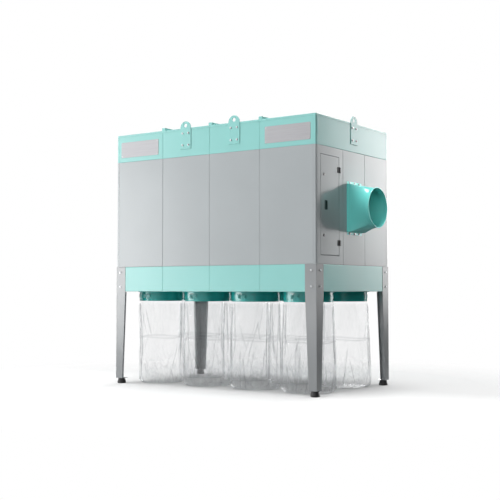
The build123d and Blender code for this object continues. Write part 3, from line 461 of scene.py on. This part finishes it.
@dataclass(frozen=True)
class ClearFilm:
    """Clear polyethylene film, with painted shade along its creases and round its foot, and darker
    where it is seen edge on.
    """

    name: str
    crease: str = "crease"
    loose: str = "loose"
    clear: Colour = (0.983, 0.984, 0.985)
    # The grey of the painted crease shade, given to the light that passes the film.
    crease_shade_colour: Colour = (0.62, 0.63, 0.64)

    def material(self) -> bpy.types.Material:
        """The film as a material."""
        sheet = NodeSheet(self.name)
        # The crease attribute is painted shade: it greys the passing light and shows more opaque
        # gloss along creases and at the foot.
        fold = sheet.node("ShaderNodeAttribute", attribute_name=self.crease).outputs["Fac"]
        edge = sheet.node("ShaderNodeLayerWeight")
        edge.inputs["Blend"].default_value = 0.35
        haze = sheet.grain(0.11, 4.0, (1.0, 1.0, 0.35), 0.6)
        crinkle = sheet.relief(sheet.grain(0.020, 3.0, (1.0, 1.0, 0.45), 1.2), 0.5, 0.0016)

        passed = sheet.node("ShaderNodeBsdfTransparent")
        crease_shade_tint = sheet.tone(fold, [(0.0, self.clear), (1.0, self.crease_shade_colour)])
        sheet.join(crease_shade_tint, passed.inputs["Color"])
        gloss = sheet.surface(
            Base_Color=(0.86, 0.87, 0.88),
            Roughness=sheet.spread(haze, 0.07, 0.20),
            Specular_IOR_Level=0.9,
            Normal=crinkle,
        )
        rim = sheet.node("ShaderNodeMath", operation="POWER")
        sheet.join(edge.outputs["Facing"], rim.inputs[0])
        rim.inputs[1].default_value = 4.5
        share = sheet.node("ShaderNodeMath", operation="ADD", use_clamp=True)
        sheet.join(sheet.spread(rim.outputs[0], 0.0, 0.32, 0.0, 1.0), share.inputs[0])
        body = sheet.node("ShaderNodeMath", operation="ADD")
        sheet.join(sheet.spread(haze, 0.015, 0.05), body.inputs[0])
        sheet.join(sheet.spread(fold, 0.0, 0.16, 0.0, 1.0), body.inputs[1])
        sheet.join(body.outputs[0], share.inputs[1])

        free = sheet.node("ShaderNodeAttribute", attribute_name=self.loose).outputs["Fac"]
        shown = sheet.node("ShaderNodeMath", operation="MULTIPLY")
        sheet.join(share.outputs[0], shown.inputs[0])
        sheet.join(sheet.spread(free, 0.12, 1.0, 0.0, 1.0), shown.inputs[1])
        mix = sheet.node("ShaderNodeMixShader")
        sheet.join(shown.outputs[0], mix.inputs[0])
        sheet.join(passed.outputs[0], mix.inputs[1])
        sheet.join(gloss.outputs[0], mix.inputs[2])
        return sheet.finish(mix)


def make_finishes() -> dict[Slot, bpy.types.Material]:
    """Make every finish of the record.

    Returns:
        The material of each slot.
    """
    rack = {
        Slot.PANEL_GREY: PowderCoat("panel_grey_coat", (0.375, 0.405, 0.418), roughness=0.16),
        Slot.LEG_GREY: PowderCoat(
            "leg_grey_coat", (0.255, 0.268, 0.276), roughness=0.18, level=0.8
        ),
        Slot.BAND_TEAL: PowderCoat("band_teal_coat", (0.262, 0.585, 0.556), roughness=0.16),
        Slot.DEEP_TEAL: PowderCoat(
            "deep_teal_coat", (0.014, 0.370, 0.345), roughness=0.18, level=0.6
        ),
        Slot.NAMEPLATE: BrushedPlate("nameplate_satin"),
        Slot.ZINC: PlatedSteel("zinc_plate"),
        Slot.GALVANISED: GalvanisedSheet("galvanised_sheet"),
        Slot.RUBBER: MouldedBlack("black_rubber", (0.016, 0.016, 0.017), 0.52, 0.0020, 0.0002),
        Slot.PLASTIC: MouldedBlack("black_plastic", (0.014, 0.014, 0.015), 0.38, 0.0012, 0.0001),
        Slot.FILM: ClearFilm("clear_film_sheet"),
        Slot.FELT: NeedleFelt("needle_felt"),
        Slot.MOTOR_GREY: CastPaint("motor_enamel"),
    }
    return {slot: finish.material() for slot, finish in rack.items()}


# ---------------------------------------------------------------------------
# Bench tools
# ---------------------------------------------------------------------------


def put_down() -> None:
    """Leave nothing selected and nothing active."""
    bpy.ops.object.select_all(action="DESELECT")
    bpy.context.view_layer.objects.active = None


@contextmanager
def editing(piece: bpy.types.Object) -> Iterator[None]:
    """Hold one piece in edit mode with nothing on it selected.

    Args:
        piece: The mesh to shape.
    """
    put_down()
    piece.select_set(True)
    bpy.context.view_layer.objects.active = piece
    bpy.ops.object.mode_set(mode="EDIT")
    bpy.ops.mesh.select_mode(type="VERT")
    bpy.ops.mesh.select_all(action="DESELECT")
    yield
    bpy.ops.object.mode_set(mode="OBJECT")


def pick(piece: bpy.types.Object, kind: str, test: Callable[[object], bool]) -> None:
    """Select vertices, edges or faces of the piece in edit mode, by a test.

    Args:
        piece: The mesh in edit mode.
        kind: "VERT", "EDGE" or "FACE".
        test: Says yes to each element that is wanted.
    """
    bpy.ops.mesh.select_mode(type=kind)
    bpy.ops.mesh.select_all(action="DESELECT")
    mesh = bmesh.from_edit_mesh(piece.data)
    for element in {"VERT": mesh.verts, "EDGE": mesh.edges, "FACE": mesh.faces}[kind]:
        if test(element):
            element.select_set(True)
    mesh.select_flush_mode()
    bmesh.update_edit_mesh(piece.data)


def named(piece: bpy.types.Object, name: str) -> bpy.types.Object:
    """Give the piece and its mesh their name and return it."""
    piece.name = piece.data.name = name
    return piece


def settle(piece: bpy.types.Object) -> bpy.types.Object:
    """Move the piece's place into its mesh, so that its object sits at the origin."""
    put_down()
    piece.select_set(True)
    bpy.context.view_layer.objects.active = piece
    bpy.ops.object.transform_apply(location=True, rotation=True, scale=True)
    return piece


def apply_modifier(piece: bpy.types.Object, kind: str, **settings: object) -> None:
    """Add one modifier and apply it.

    Args:
        piece: The mesh.
        kind: Blender's name of the modifier type.
        **settings: Attributes of the modifier and their values.
    """
    put_down()
    piece.select_set(True)
    bpy.context.view_layer.objects.active = piece
    modifier = piece.modifiers.new(kind.lower(), kind)
    for name, value in settings.items():
        setattr(modifier, name, value)
    bpy.ops.object.modifier_apply(modifier=modifier.name)


def places(piece: bpy.types.Object) -> np.ndarray:
    """The piece's vertices as rows of X, Y and Z."""
    flat = np.empty(3 * len(piece.data.vertices), np.float64)
    piece.data.vertices.foreach_get("co", flat)
    return flat.reshape(-1, 3)


def move_to(piece: bpy.types.Object, rows: np.ndarray) -> None:
    """Put the piece's vertices at new places."""
    piece.data.vertices.foreach_set("co", rows.astype(np.float32).ravel())
    piece.data.update()


def smooth_steps(low: float, high: float, values: np.ndarray) -> np.ndarray:
    """A soft step from 0 at low to 1 at high."""
    share = np.clip((values - low) / (high - low), 0.0, 1.0)
    return share * share * (3.0 - 2.0 * share)


def copy_of(piece: bpy.types.Object, name: str) -> bpy.types.Object:
    """A copy of the piece with its own mesh, in the scene."""
    made = piece.copy()
    made.data = piece.data.copy()
    bpy.context.scene.collection.objects.link(made)
    return named(made, name)


def dress(piece: bpy.types.Object, material: bpy.types.Material) -> None:
    """Give the whole piece one finish."""
    if not piece.material_slots:
        piece.data.materials.append(material)
    for slot in piece.material_slots:
        slot.material = material


# ---------------------------------------------------------------------------
# Sub-assemblies
# ---------------------------------------------------------------------------


@dataclass
class SheetMetal:
    """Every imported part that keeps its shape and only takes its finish."""

    finishes: dict[Slot, bpy.types.Material]
    replaced: frozenset[str] = frozenset({"dust_bags", "filter_sleeves"})
    # The inlet wears a much brighter copy of the deep teal: painted light on its facets.
    inlet: PowderCoat = PowderCoat("inlet_teal_lit_coat", (0.21, 0.88, 0.82), roughness=0.22, level=0.8)
    lock: PlatedSteel = PlatedSteel("lock_dark_plate", (0.16, 0.16, 0.16))

    def dress(self) -> None:
        """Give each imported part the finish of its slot, or of its own batch."""
        inlet, lock = self.inlet.material(), self.lock.material()
        # The inlet takes its painted-light teal, the locks their dark plate.
        batches = {"inlet_transition": inlet, "lock_upper": lock, "lock_lower": lock}
        for row in frame["record"]["subparts"]:
            node = row["node"]
            if node not in self.replaced:
                usual = self.finishes[Slot(row["material_slot"])]
                dress(frame["nodes"][node], batches.get(node, usual))
                LOG.info("%s finished in %s", node, row["material_slot"])


@dataclass
class Fold:
    """One crease line in the film."""

    angle: float
    slope: float
    width: float
    depth: float
    top: float
    bottom: float
    wander: float
    sharp: float = 0.35


@dataclass
class FilmBag:
    """One clear bag, clamped round its collar and standing on the floor."""

    name: str
    centre: tuple[float, float]
    seed: int
    neck_radius: float = 0.2513
    foot_radius: float = 0.270
    neck_top: float = 0.975
    grip_bottom: float = 0.895
    belly_level: float = 0.150
    floor_gap: float = 0.0035
    corner: float = 0.040
    film: float = 0.0007
    bulge: float = 0.004
    gather_line: float = -0.88
    most_radius: float = 0.2834
    fold_line: float = 0.50
    around: int = 176
    rows: int = 92
    rings: int = 9
    slack_band: float = 0.05
    long_turn: float = 80.0
    long_sides: tuple[float, ...] = (-1.0, -0.82, 0.76, 0.92, 1.15, -1.25)
    slant_folds: int = 9
    foot_folds: int = 5
    gather_waves: tuple[int, ...] = (19, 27, 34, 46)
    gather_depth: float = 0.0022
    crumple_depth: float = 0.0045
    sheer_depth: float = 0.0030
    outward_play: float = 0.004
    folds: list[Fold] = field(default_factory=list)

    def build(self) -> bpy.types.Object:
        """Model the bag.

        Returns:
            The finished piece.
        """
        piece = self._tube()
        self._plan_folds()
        self._drape(piece)
        apply_modifier(piece, "SOLIDIFY", thickness=self.film, offset=0.0)
        with editing(piece):
            bpy.ops.mesh.select_all(action="SELECT")
            bpy.ops.mesh.faces_shade_smooth()
        LOG.info("%s: %d faces", self.name, len(piece.data.polygons))
        return piece

    def _tube(self) -> bpy.types.Object:
        """A plain tube with a rounded, closed foot, cut into fine rows."""
        put_down()
        height = self.neck_top - self.floor_gap
        bpy.ops.mesh.primitive_cylinder_add(
            vertices=self.around,
            radius=self.neck_radius,
            depth=height,
            end_fill_type="NOTHING",
            location=(*self.centre, self.floor_gap + height / 2),
        )
        piece = settle(named(bpy.context.object, self.name))
        low = self.floor_gap + 1e-4
        with editing(piece):
            pick(piece, "EDGE", lambda edge: all(v.co.z < low for v in edge.verts))
            for ring in range(self.rings, 1, -1):
                bpy.ops.mesh.extrude_edges_move()
                shrink = (ring - 1) / ring
                bpy.ops.transform.resize(
                    value=(shrink, shrink, 1.0), center_override=(*self.centre, self.floor_gap)
                )
            bpy.ops.mesh.extrude_edges_move()
            bpy.ops.mesh.merge(type="CENTER")
            rim = self.neck_radius - 1e-4
            pick(
                piece,
                "EDGE",
                lambda edge: all(v.co.z < low and self._reach(v.co) > rim for v in edge.verts),
            )
            bpy.ops.mesh.bevel(offset=self.corner, segments=7, profile=0.5)
            pick(piece, "EDGE", lambda edge: abs(edge.verts[0].co.z - edge.verts[1].co.z) > 0.3)
            bpy.ops.mesh.subdivide(number_cuts=self.rows)
            bpy.ops.mesh.select_all(action="SELECT")
            bpy.ops.mesh.normals_make_consistent(inside=False)
        return piece

    def _reach(self, at: Vector) -> float:
        """How far a point is from the bag's middle line."""
        return math.hypot(at.x - self.centre[0], at.y - self.centre[1])

    def _plan_folds(self) -> None:
        """Choose the creases: long ones down both sides, then slanting ones, then the foot's."""
        draw = np.random.default_rng(self.seed)
        for side in self.long_sides:
            middle = self.gather_line + side * math.radians(self.long_turn)
            self.folds.append(
                Fold(
                    angle=middle + draw.uniform(-0.10, 0.10),
                    slope=draw.uniform(-0.30, 0.30),
                    width=draw.uniform(0.055, 0.11),
                    depth=draw.uniform(0.006, 0.012),
                    top=0.93,
                    bottom=draw.uniform(-0.05, 0.35),
                    wander=draw.uniform(0.02, 0.07),
                )
            )
        for _ in range(self.slant_folds):
            top = draw.uniform(0.35, 0.90)
            self.folds.append(
                Fold(
                    angle=draw.uniform(0, 2 * math.pi),
                    slope=draw.uniform(0.5, 1.5) * draw.choice((-1.0, 1.0)),
                    width=draw.uniform(0.03, 0.06),
                    depth=draw.uniform(0.001, 0.0035),
                    top=top,
                    bottom=top - draw.uniform(0.22, 0.45),
                    wander=draw.uniform(0.0, 0.05),
                    sharp=0.45,
                )
            )
        for _ in range(self.foot_folds):
            top = draw.uniform(0.16, 0.46)
            self.folds.append(
                Fold(
                    angle=draw.uniform(0, 2 * math.pi),
                    slope=draw.uniform(-1.2, 1.2),
                    width=draw.uniform(0.035, 0.08),
                    depth=draw.uniform(0.002, 0.006),
                    top=top,
                    bottom=-0.05,
                    wander=draw.uniform(0.0, 0.08),
                    sharp=0.45,
                )
            )

    def _drape(self, piece: bpy.types.Object) -> None:
        """Swell, gather and crease the tube, and lay painted shade along its creases and round its
        foot for the finish.
        """
        draw = np.random.default_rng(self.seed + 1000)
        rows = places(piece)
        x, y, z = rows[:, 0] - self.centre[0], rows[:, 1] - self.centre[1], rows[:, 2]
        angle, reach = np.arctan2(y, x), np.hypot(x, y) / self.neck_radius
        drop = np.clip(self.grip_bottom - z, 0.0, None)
        free = smooth_steps(0.0, self.slack_band, drop)

        fall = np.clip(drop / (self.grip_bottom - self.belly_level), 0.0, 1.0)
        bulge = self.bulge * np.sin(math.pi * fall) * free
        swell = (self.foot_radius - self.neck_radius) * fall + bulge
        gather = np.zeros_like(z)
        for count in self.gather_waves:
            gather += np.cos(count * angle + draw.uniform(0, 2 * math.pi)) * draw.uniform(0.5, 1.0)
        gather *= self.gather_depth * np.exp(-drop / 0.09) * free

        # crease_shade is painted shade, darkest on each crease line, read by the film's finish.
        valley, crease_shade = np.zeros_like(z), np.zeros_like(z)
        for fold in self.folds:
            line = fold.angle + fold.slope * drop
            line = line + fold.wander * np.sin(6.0 * drop + fold.angle * 7.0)
            away = np.abs((angle - line + math.pi) % (2 * math.pi) - math.pi)
            reachable = smooth_steps(fold.bottom - 0.02, fold.bottom + 0.10, z)
            reachable = reachable * smooth_steps(fold.top + 0.005, fold.top - 0.09, z) * free
            pinch = np.exp(-((away / fold.width) ** 2))
            shoulder = 0.4 * np.exp(-(((away - 1.7 * fold.width) / fold.width) ** 2))
            valley += fold.depth * reachable * (pinch - shoulder)
            line_shade = np.exp(-((away / (fold.sharp * fold.width)) ** 2)) * reachable
            crease_shade = np.maximum(crease_shade, line_shade * min(1.0, 0.12 + fold.depth / 0.014))

        crumple = np.empty_like(z)
        sheer = np.empty_like(z)
        for index, (turn, level) in enumerate(zip(angle, z)):
            east, north = math.cos(turn), math.sin(turn)
            spot = Vector((2.2 * east, 2.2 * north, 4.0 * level + self.seed * 3.7))
            crumple[index] = noise.noise(spot * 2.0) + 0.5 * noise.noise(spot * 4.3)
            fine = Vector((5.0 * east, 5.0 * north, 2.2 * level + self.seed * 5.1))
            sheer[index] = noise.noise(fine * 1.6) + 0.4 * noise.noise(fine * 3.1)
        ridge = 1.0 - np.clip(np.abs(crumple) * 3.2, 0.0, 1.0)
        hair = 1.0 - np.clip(np.abs(sheer) * 4.5, 0.0, 1.0)
        low_down = smooth_steps(0.42, 0.04, z)
        crumpling = self.crumple_depth * crumple * low_down + self.sheer_depth * sheer * free
        # Painted shade on the crumpled ridges low down and on fine hairline wrinkles.
        crease_shade = np.maximum(crease_shade, 0.25 * ridge**4 * low_down)
        crease_shade = np.maximum(crease_shade, 0.05 * hair**6 * free)
        # The packing fold is pressed in a little and also gets painted shade.
        packing = np.exp(-(((z - self.fold_line - 0.006 * np.sin(3 * angle)) / 0.007) ** 2))
        crease_shade = np.maximum(crease_shade, 0.22 * packing)
        # Painted shade round the rim of the foot, where the bag stands on the floor.
        foot = smooth_steps(0.11, 0.02, z) * (0.25 + 0.75 * np.clip(crumple + 0.2, 0.0, 1.0))
        crease_shade = np.maximum(crease_shade, 0.26 * foot * smooth_steps(0.7, 0.95, reach))

        radius = self.neck_radius + swell + gather - valley + crumpling - 0.0014 * packing
        cone = self.neck_radius + (self.most_radius - self.neck_radius) * fall
        radius = np.minimum(radius, cone + self.outward_play * free)
        radius = np.minimum(radius, self.most_radius)
        outer = smooth_steps(0.45, 0.98, reach)
        lift = 0.010 * np.clip(crumple, 0.0, 1.0) * outer * smooth_steps(0.12, 0.01, z)
        held = reach * radius
        move_to(
            piece,
            np.column_stack(
                (
                    self.centre[0] + held * np.cos(angle),
                    self.centre[1] + held * np.sin(angle),
                    np.maximum(z + lift, self.floor_gap),
                )
            ),
        )
        # The painted shade is stored as the crease attribute.
        for name, values in (("crease", crease_shade), ("loose", free)):
            layer = piece.data.attributes.new(name, "FLOAT", "POINT")
            layer.data.foreach_set("value", np.clip(values, 0.0, 1.0).astype(np.float32))


@dataclass
class CollectingBags:
    """The row of film bags in front and the row behind."""

    film: bpy.types.Material
    cad_belly: float = 0.284
    columns: tuple[float, ...] = (0.0, 0.6375, 1.2625, 1.9)
    feet: tuple[float, ...] = (0.2500, 0.2620, 0.2640, 0.2740, 0.2650, 0.2700, 0.2680, 0.2830)

    def centres(self) -> list[tuple[float, float]]:
        """The middle of each bag, front row first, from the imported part's box."""
        low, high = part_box("dust_bags")
        first = low.x + self.cad_belly
        depths = (low.y + self.cad_belly, high.y - self.cad_belly)
        return [(first + column, depth) for depth in depths for column in self.columns]

    def build(self) -> None:
        """Model, finish and place every bag."""
        for index, (centre, foot) in enumerate(zip(self.centres(), self.feet), 1):
            piece = FilmBag(f"film_bag_{index}", centre, seed=40 + index, foot_radius=foot).build()
            dress(piece, self.film)
            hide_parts("dust_bags")
            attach(piece, "cabinet")


@dataclass
class FilterSleeves:
    """Felt sleeves hung in the tube sheets over their wire cages."""

    felt: bpy.types.Material
    columns: tuple[float, ...] = (0.0, 0.325, 0.64375, 0.95625, 1.26875, 1.58125, 1.9)
    rows: int = 3
    flange: float = 0.118
    radius: float = 0.110
    wall: float = 0.0022
    cuff: float = 0.004
    wires: int = 8
    sag: float = 0.0022
    seam_width: float = 0.0055
    seam_proud: float = 0.0006

    def build(self) -> None:
        """Model one sleeve and set copies of it in every hole."""
        low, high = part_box("filter_sleeves")
        pattern = self._sleeve(high.z - low.z)
        pitch_y = (high.y - low.y - 2 * self.flange) / (self.rows - 1)
        for column, along in enumerate(self.columns, 1):
            for row in range(self.rows):
                name = f"felt_sleeve_{column}_{row + 1}"
                piece = copy_of(pattern, name)
                piece.location = (
                    low.x + self.flange + along,
                    low.y + self.flange + row * pitch_y,
                    low.z,
                )
                settle(piece)
                dress(piece, self.felt)
                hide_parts("filter_sleeves")
                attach(piece, "cabinet")
        bpy.data.objects.remove(pattern)
        LOG.info("felt sleeves: %d", len(self.columns) * self.rows)

    def _sleeve(self, length: float) -> bpy.types.Object:
        """One sleeve with its foot at the origin.

        Args:
            length: From the foot to the top of the cuff, in metres.

        Returns:
            The sleeve.
        """
        put_down()
        bpy.ops.mesh.primitive_cylinder_add(
            vertices=48, radius=self.radius, depth=length - self.cuff, end_fill_type="NOTHING",
            location=(0, 0, (length - self.cuff) / 2),
        )
        piece = settle(named(bpy.context.object, "sleeve_pattern"))
        top = length - self.cuff - 1e-4
        with editing(piece):
            pick(piece, "EDGE", lambda edge: all(v.co.z < 1e-4 for v in edge.verts))
            for share in (0.94, 0.6, 0.3):
                bpy.ops.mesh.extrude_edges_move()
                reach = self.radius * share
                pick_low = [v for v in bmesh.from_edit_mesh(piece.data).verts if v.select]
                factor = reach / math.hypot(pick_low[0].co.x, pick_low[0].co.y)
                bpy.ops.transform.resize(value=(factor, factor, 1.0), center_override=(0, 0, 0))
            bpy.ops.mesh.extrude_edges_move()
            bpy.ops.mesh.merge(type="CENTER")
            pick(piece, "EDGE", lambda edge: all(v.co.z > top for v in edge.verts))
            bpy.ops.mesh.extrude_edges_move()
            bpy.ops.transform.translate(value=(0, 0, self.cuff * 0.35))
            bpy.ops.mesh.extrude_edges_move()
            factor = (self.flange - self.wall) / self.radius
            bpy.ops.transform.resize(value=(factor, factor, 1.0), center_override=(0, 0, 0))
            bpy.ops.mesh.extrude_edges_move()
            bpy.ops.transform.translate(value=(0, 0, self.cuff * 0.35))
            pick(piece, "EDGE", lambda edge: abs(edge.verts[0].co.z - edge.verts[1].co.z) > 0.3)
            bpy.ops.mesh.subdivide(number_cuts=22)
            bpy.ops.mesh.select_all(action="SELECT")
            bpy.ops.mesh.normals_make_consistent(inside=False)
        rows = places(piece)
        angle = np.arctan2(rows[:, 1], rows[:, 0])
        reach = np.hypot(rows[:, 0], rows[:, 1])
        level = rows[:, 2]
        slack = smooth_steps(0.02, 0.10, level) * smooth_steps(length - 0.02, length - 0.12, level)
        lobe = np.abs(np.sin(self.wires * angle / 2)) ** 1.5
        side = np.abs(reach - self.radius) < 1e-3
        seam = np.exp(-((angle * self.radius / self.seam_width) ** 2))
        inward = side * (self.sag * lobe * slack * (0.8 + 0.3 * np.sin(9.0 * rows[:, 2] + angle)))
        reach = reach - inward - self.seam_proud + side * self.seam_proud * seam
        rows[:, 0], rows[:, 1] = reach * np.cos(angle), reach * np.sin(angle)
        move_to(piece, rows)
        apply_modifier(piece, "SOLIDIFY", thickness=self.wall, offset=-1.0, use_even_offset=True)
        with editing(piece):
            bpy.ops.mesh.select_all(action="SELECT")
            bpy.ops.mesh.faces_shade_smooth()
        return piece


# ---------------------------------------------------------------------------
# Studio
# ---------------------------------------------------------------------------


@dataclass
class Studio:
    """The pale floor, the soft light and the camera."""

    camera_place: Point = (5.927, -8.732, 1.026)
    camera_turn: Point = (92.29, 0.0, 34.8)
    lens: float = 70.33
    floor_reach: float = 30.0
    # The floor tone the camera sees near the object: a painted shadow, deeper behind it.
    shadow_tone_front: float = 0.70
    shadow_tone_back: float = 0.57
    floor_bounce: float = 0.52
    floor_shade: float = 0.10
    floor_left: float = 4.2
    sky_low: float = 0.45
    sky_high: float = 0.70
    right_share: float = 0.02
    front_gain: float = 1.3
    left_box: float = 8.0
    rear_box: float = 8.4
    top_box: float = 0.5
    high_box: float = 13.0
    side_box: float = 2.1

    def build(self) -> None:
        """Set up the whole studio."""
        self._floor()
        self._light()
        self._camera()
        bpy.context.scene.view_settings.view_transform = "Standard"
        bpy.context.scene.cycles.transparent_max_bounces = 48

    def _floor(self) -> None:
        """A wide floor that fades to white far away.

        The camera sees its own tone, a painted shadow round the object that deepens behind it.
        What the floor throws back on the object is set apart from it, darker to the right and
        bright far out to the left.
        """
        put_down()
        bpy.ops.mesh.primitive_plane_add(size=2 * self.floor_reach, location=(0, 0, 0))
        floor = settle(named(bpy.context.object, "studio_floor"))
        sheet = NodeSheet("studio_floor_paint")
        ball = sheet.node("ShaderNodeVectorMath", operation="LENGTH")
        sheet.join(sheet.place, ball.inputs[0])
        far = sheet.spread(ball.outputs["Value"], 0.0, 1.0, 2.4, 3.9)
        seen = sheet.node("ShaderNodeLightPath").outputs["Is Camera Ray"]
        apart = sheet.node("ShaderNodeSeparateXYZ")
        sheet.join(sheet.place, apart.inputs[0])
        along, deep = apart.outputs["X"], apart.outputs["Y"]
        near = sheet.spread(along, self.floor_bounce, self.floor_shade, 0.3, 1.9)
        away = sheet.spread(along, self.floor_left, 0.0, -7.4, -4.6)
        brighter = sheet.node("ShaderNodeMath", operation="MAXIMUM")
        sheet.join(near, brighter.inputs[0])
        sheet.join(away, brighter.inputs[1])
        bounce = brighter.outputs[0]
        paint = sheet.node("ShaderNodeMix", data_type="FLOAT")
        sheet.join(seen, paint.inputs[0])
        sheet.join(bounce, paint.inputs[2])
        # Painted shadow: the camera's floor tone darkens from the front to behind the object.
        tone = sheet.spread(deep, self.shadow_tone_front, self.shadow_tone_back, -0.5, 0.4)
        sheet.join(tone, paint.inputs[3])
        diffuse = sheet.node("ShaderNodeBsdfDiffuse")
        sheet.join(paint.outputs[0], diffuse.inputs["Color"])
        light = sheet.node("ShaderNodeMix", data_type="FLOAT")
        sheet.join(seen, light.inputs[0])
        sheet.join(bounce, light.inputs[2])
        light.inputs[3].default_value = 1.0
        glow = sheet.node("ShaderNodeEmission")
        sheet.join(light.outputs[0], glow.inputs["Strength"])
        mix = sheet.node("ShaderNodeMixShader")
        sheet.join(far, mix.inputs[0])
        sheet.join(diffuse.outputs[0], mix.inputs[1])
        sheet.join(glow.outputs[0], mix.inputs[2])
        dress(floor, sheet.finish(mix))

    def _light(self) -> None:
        """White to the camera, with soft boxes to the left, behind, above and at the right."""
        world = bpy.data.worlds.new("studio_light")
        bpy.context.scene.world = world
        world.use_nodes = True
        tree = world.node_tree
        tree.nodes.clear()
        join = tree.links.new

        degree = math.pi / 180

        def sum_up(operation: str, first: object, second: object = None) -> object:
            """One step of arithmetic on numbers or sockets."""
            node = tree.nodes.new("ShaderNodeMath")
            node.operation = operation
            for entry, value in zip(node.inputs, (first, second)):
                if isinstance(value, bpy.types.NodeSocket):
                    join(value, entry)
                elif value is not None:
                    entry.default_value = value
            return node.outputs[0]

        def both(first: object, second: object) -> object:
            """The product of two numbers or sockets."""
            return sum_up("MULTIPLY", first, second)

        def step(
            angle: object, start: float, end: float, low: float = 0.0, high: float = 1.0
        ) -> object:
            """A soft step between two angles, in degrees."""
            node = tree.nodes.new("ShaderNodeMapRange")
            node.interpolation_type = "SMOOTHSTEP"
            for index, value in enumerate((start * degree, end * degree, low, high), 1):
                node.inputs[index].default_value = value
            join(angle, node.inputs[0])
            return node.outputs[0]

        apart = tree.nodes.new("ShaderNodeSeparateXYZ")
        join(tree.nodes.new("ShaderNodeTexCoord").outputs["Generated"], apart.inputs[0])
        x, y, z = apart.outputs
        turn = sum_up("ARCTAN2", x, both(y, -1.0))
        rise = sum_up("ARCSINE", z)

        dim = step(turn, 28, 62, 1.0, self.right_share)
        sky = step(rise, 0, 50, self.sky_low, self.sky_high)
        sky = both(sky, sum_up("MAXIMUM", dim, step(rise, 40, 70)))
        front = both(both(step(turn, -40, -22), step(turn, 40, 18)), step(rise, 60, 35))
        sky = both(sky, sum_up("ADD", both(front, self.front_gain), 1.0))
        left = both(both(step(turn, -36.5, -43.5), step(turn, -86, -68)), step(rise, 36, 18))
        left = both(left, step(rise, 4.5, 9, 1.0, 0.38))
        wide = sum_up("ABSOLUTE", turn)
        rear = both(both(step(wide, 149.4, 152.8), step(rise, 34, 18)), step(rise, -1, 7, 0.45))
        side = both(both(step(turn, 36, 46), step(turn, 66, 56)), step(rise, 14, 24))
        side = both(side, step(rise, 50, 40))
        total = sky
        for box, strength in (
            (left, self.left_box),
            (rear, self.rear_box),
            (step(rise, 52, 70), self.top_box),
            (side, self.side_box),
            (step(rise, 75, 80), self.high_box),
        ):
            total = sum_up("ADD", total, both(box, strength))

        seen = tree.nodes.new("ShaderNodeBackground")
        seen.inputs["Color"].default_value = (1.0, 1.0, 1.0, 1.0)
        lit = tree.nodes.new("ShaderNodeBackground")
        lit.inputs["Color"].default_value = (1.0, 1.0, 1.0, 1.0)
        join(total, lit.inputs["Strength"])
        rays = tree.nodes.new("ShaderNodeLightPath")
        mix = tree.nodes.new("ShaderNodeMixShader")
        join(rays.outputs["Is Camera Ray"], mix.inputs[0])
        join(lit.outputs[0], mix.inputs[1])
        join(seen.outputs[0], mix.inputs[2])
        join(mix.outputs[0], tree.nodes.new("ShaderNodeOutputWorld").inputs["Surface"])

    def _camera(self) -> None:
        """A long lens at the height of the collecting section."""
        data = bpy.data.cameras.new("camera")
        data.lens = self.lens
        data.sensor_width = 36.0
        data.clip_end = 200.0
        camera = bpy.data.objects.new("camera", data)
        bpy.context.scene.collection.objects.link(camera)
        camera.location = self.camera_place
        camera.rotation_euler = tuple(math.radians(angle) for angle in self.camera_turn)
        bpy.context.scene.camera = camera


def main() -> None:
    """Build the whole object in its studio."""
    logging.basicConfig(level=logging.INFO, format="%(name)s: %(message)s")
    finishes = make_finishes()
    SheetMetal(finishes).dress()
    CollectingBags(finishes[Slot.FILM]).build()
    FilterSleeves(finishes[Slot.FELT]).build()
    Studio().build()


if __name__ == "__main__":
    main()
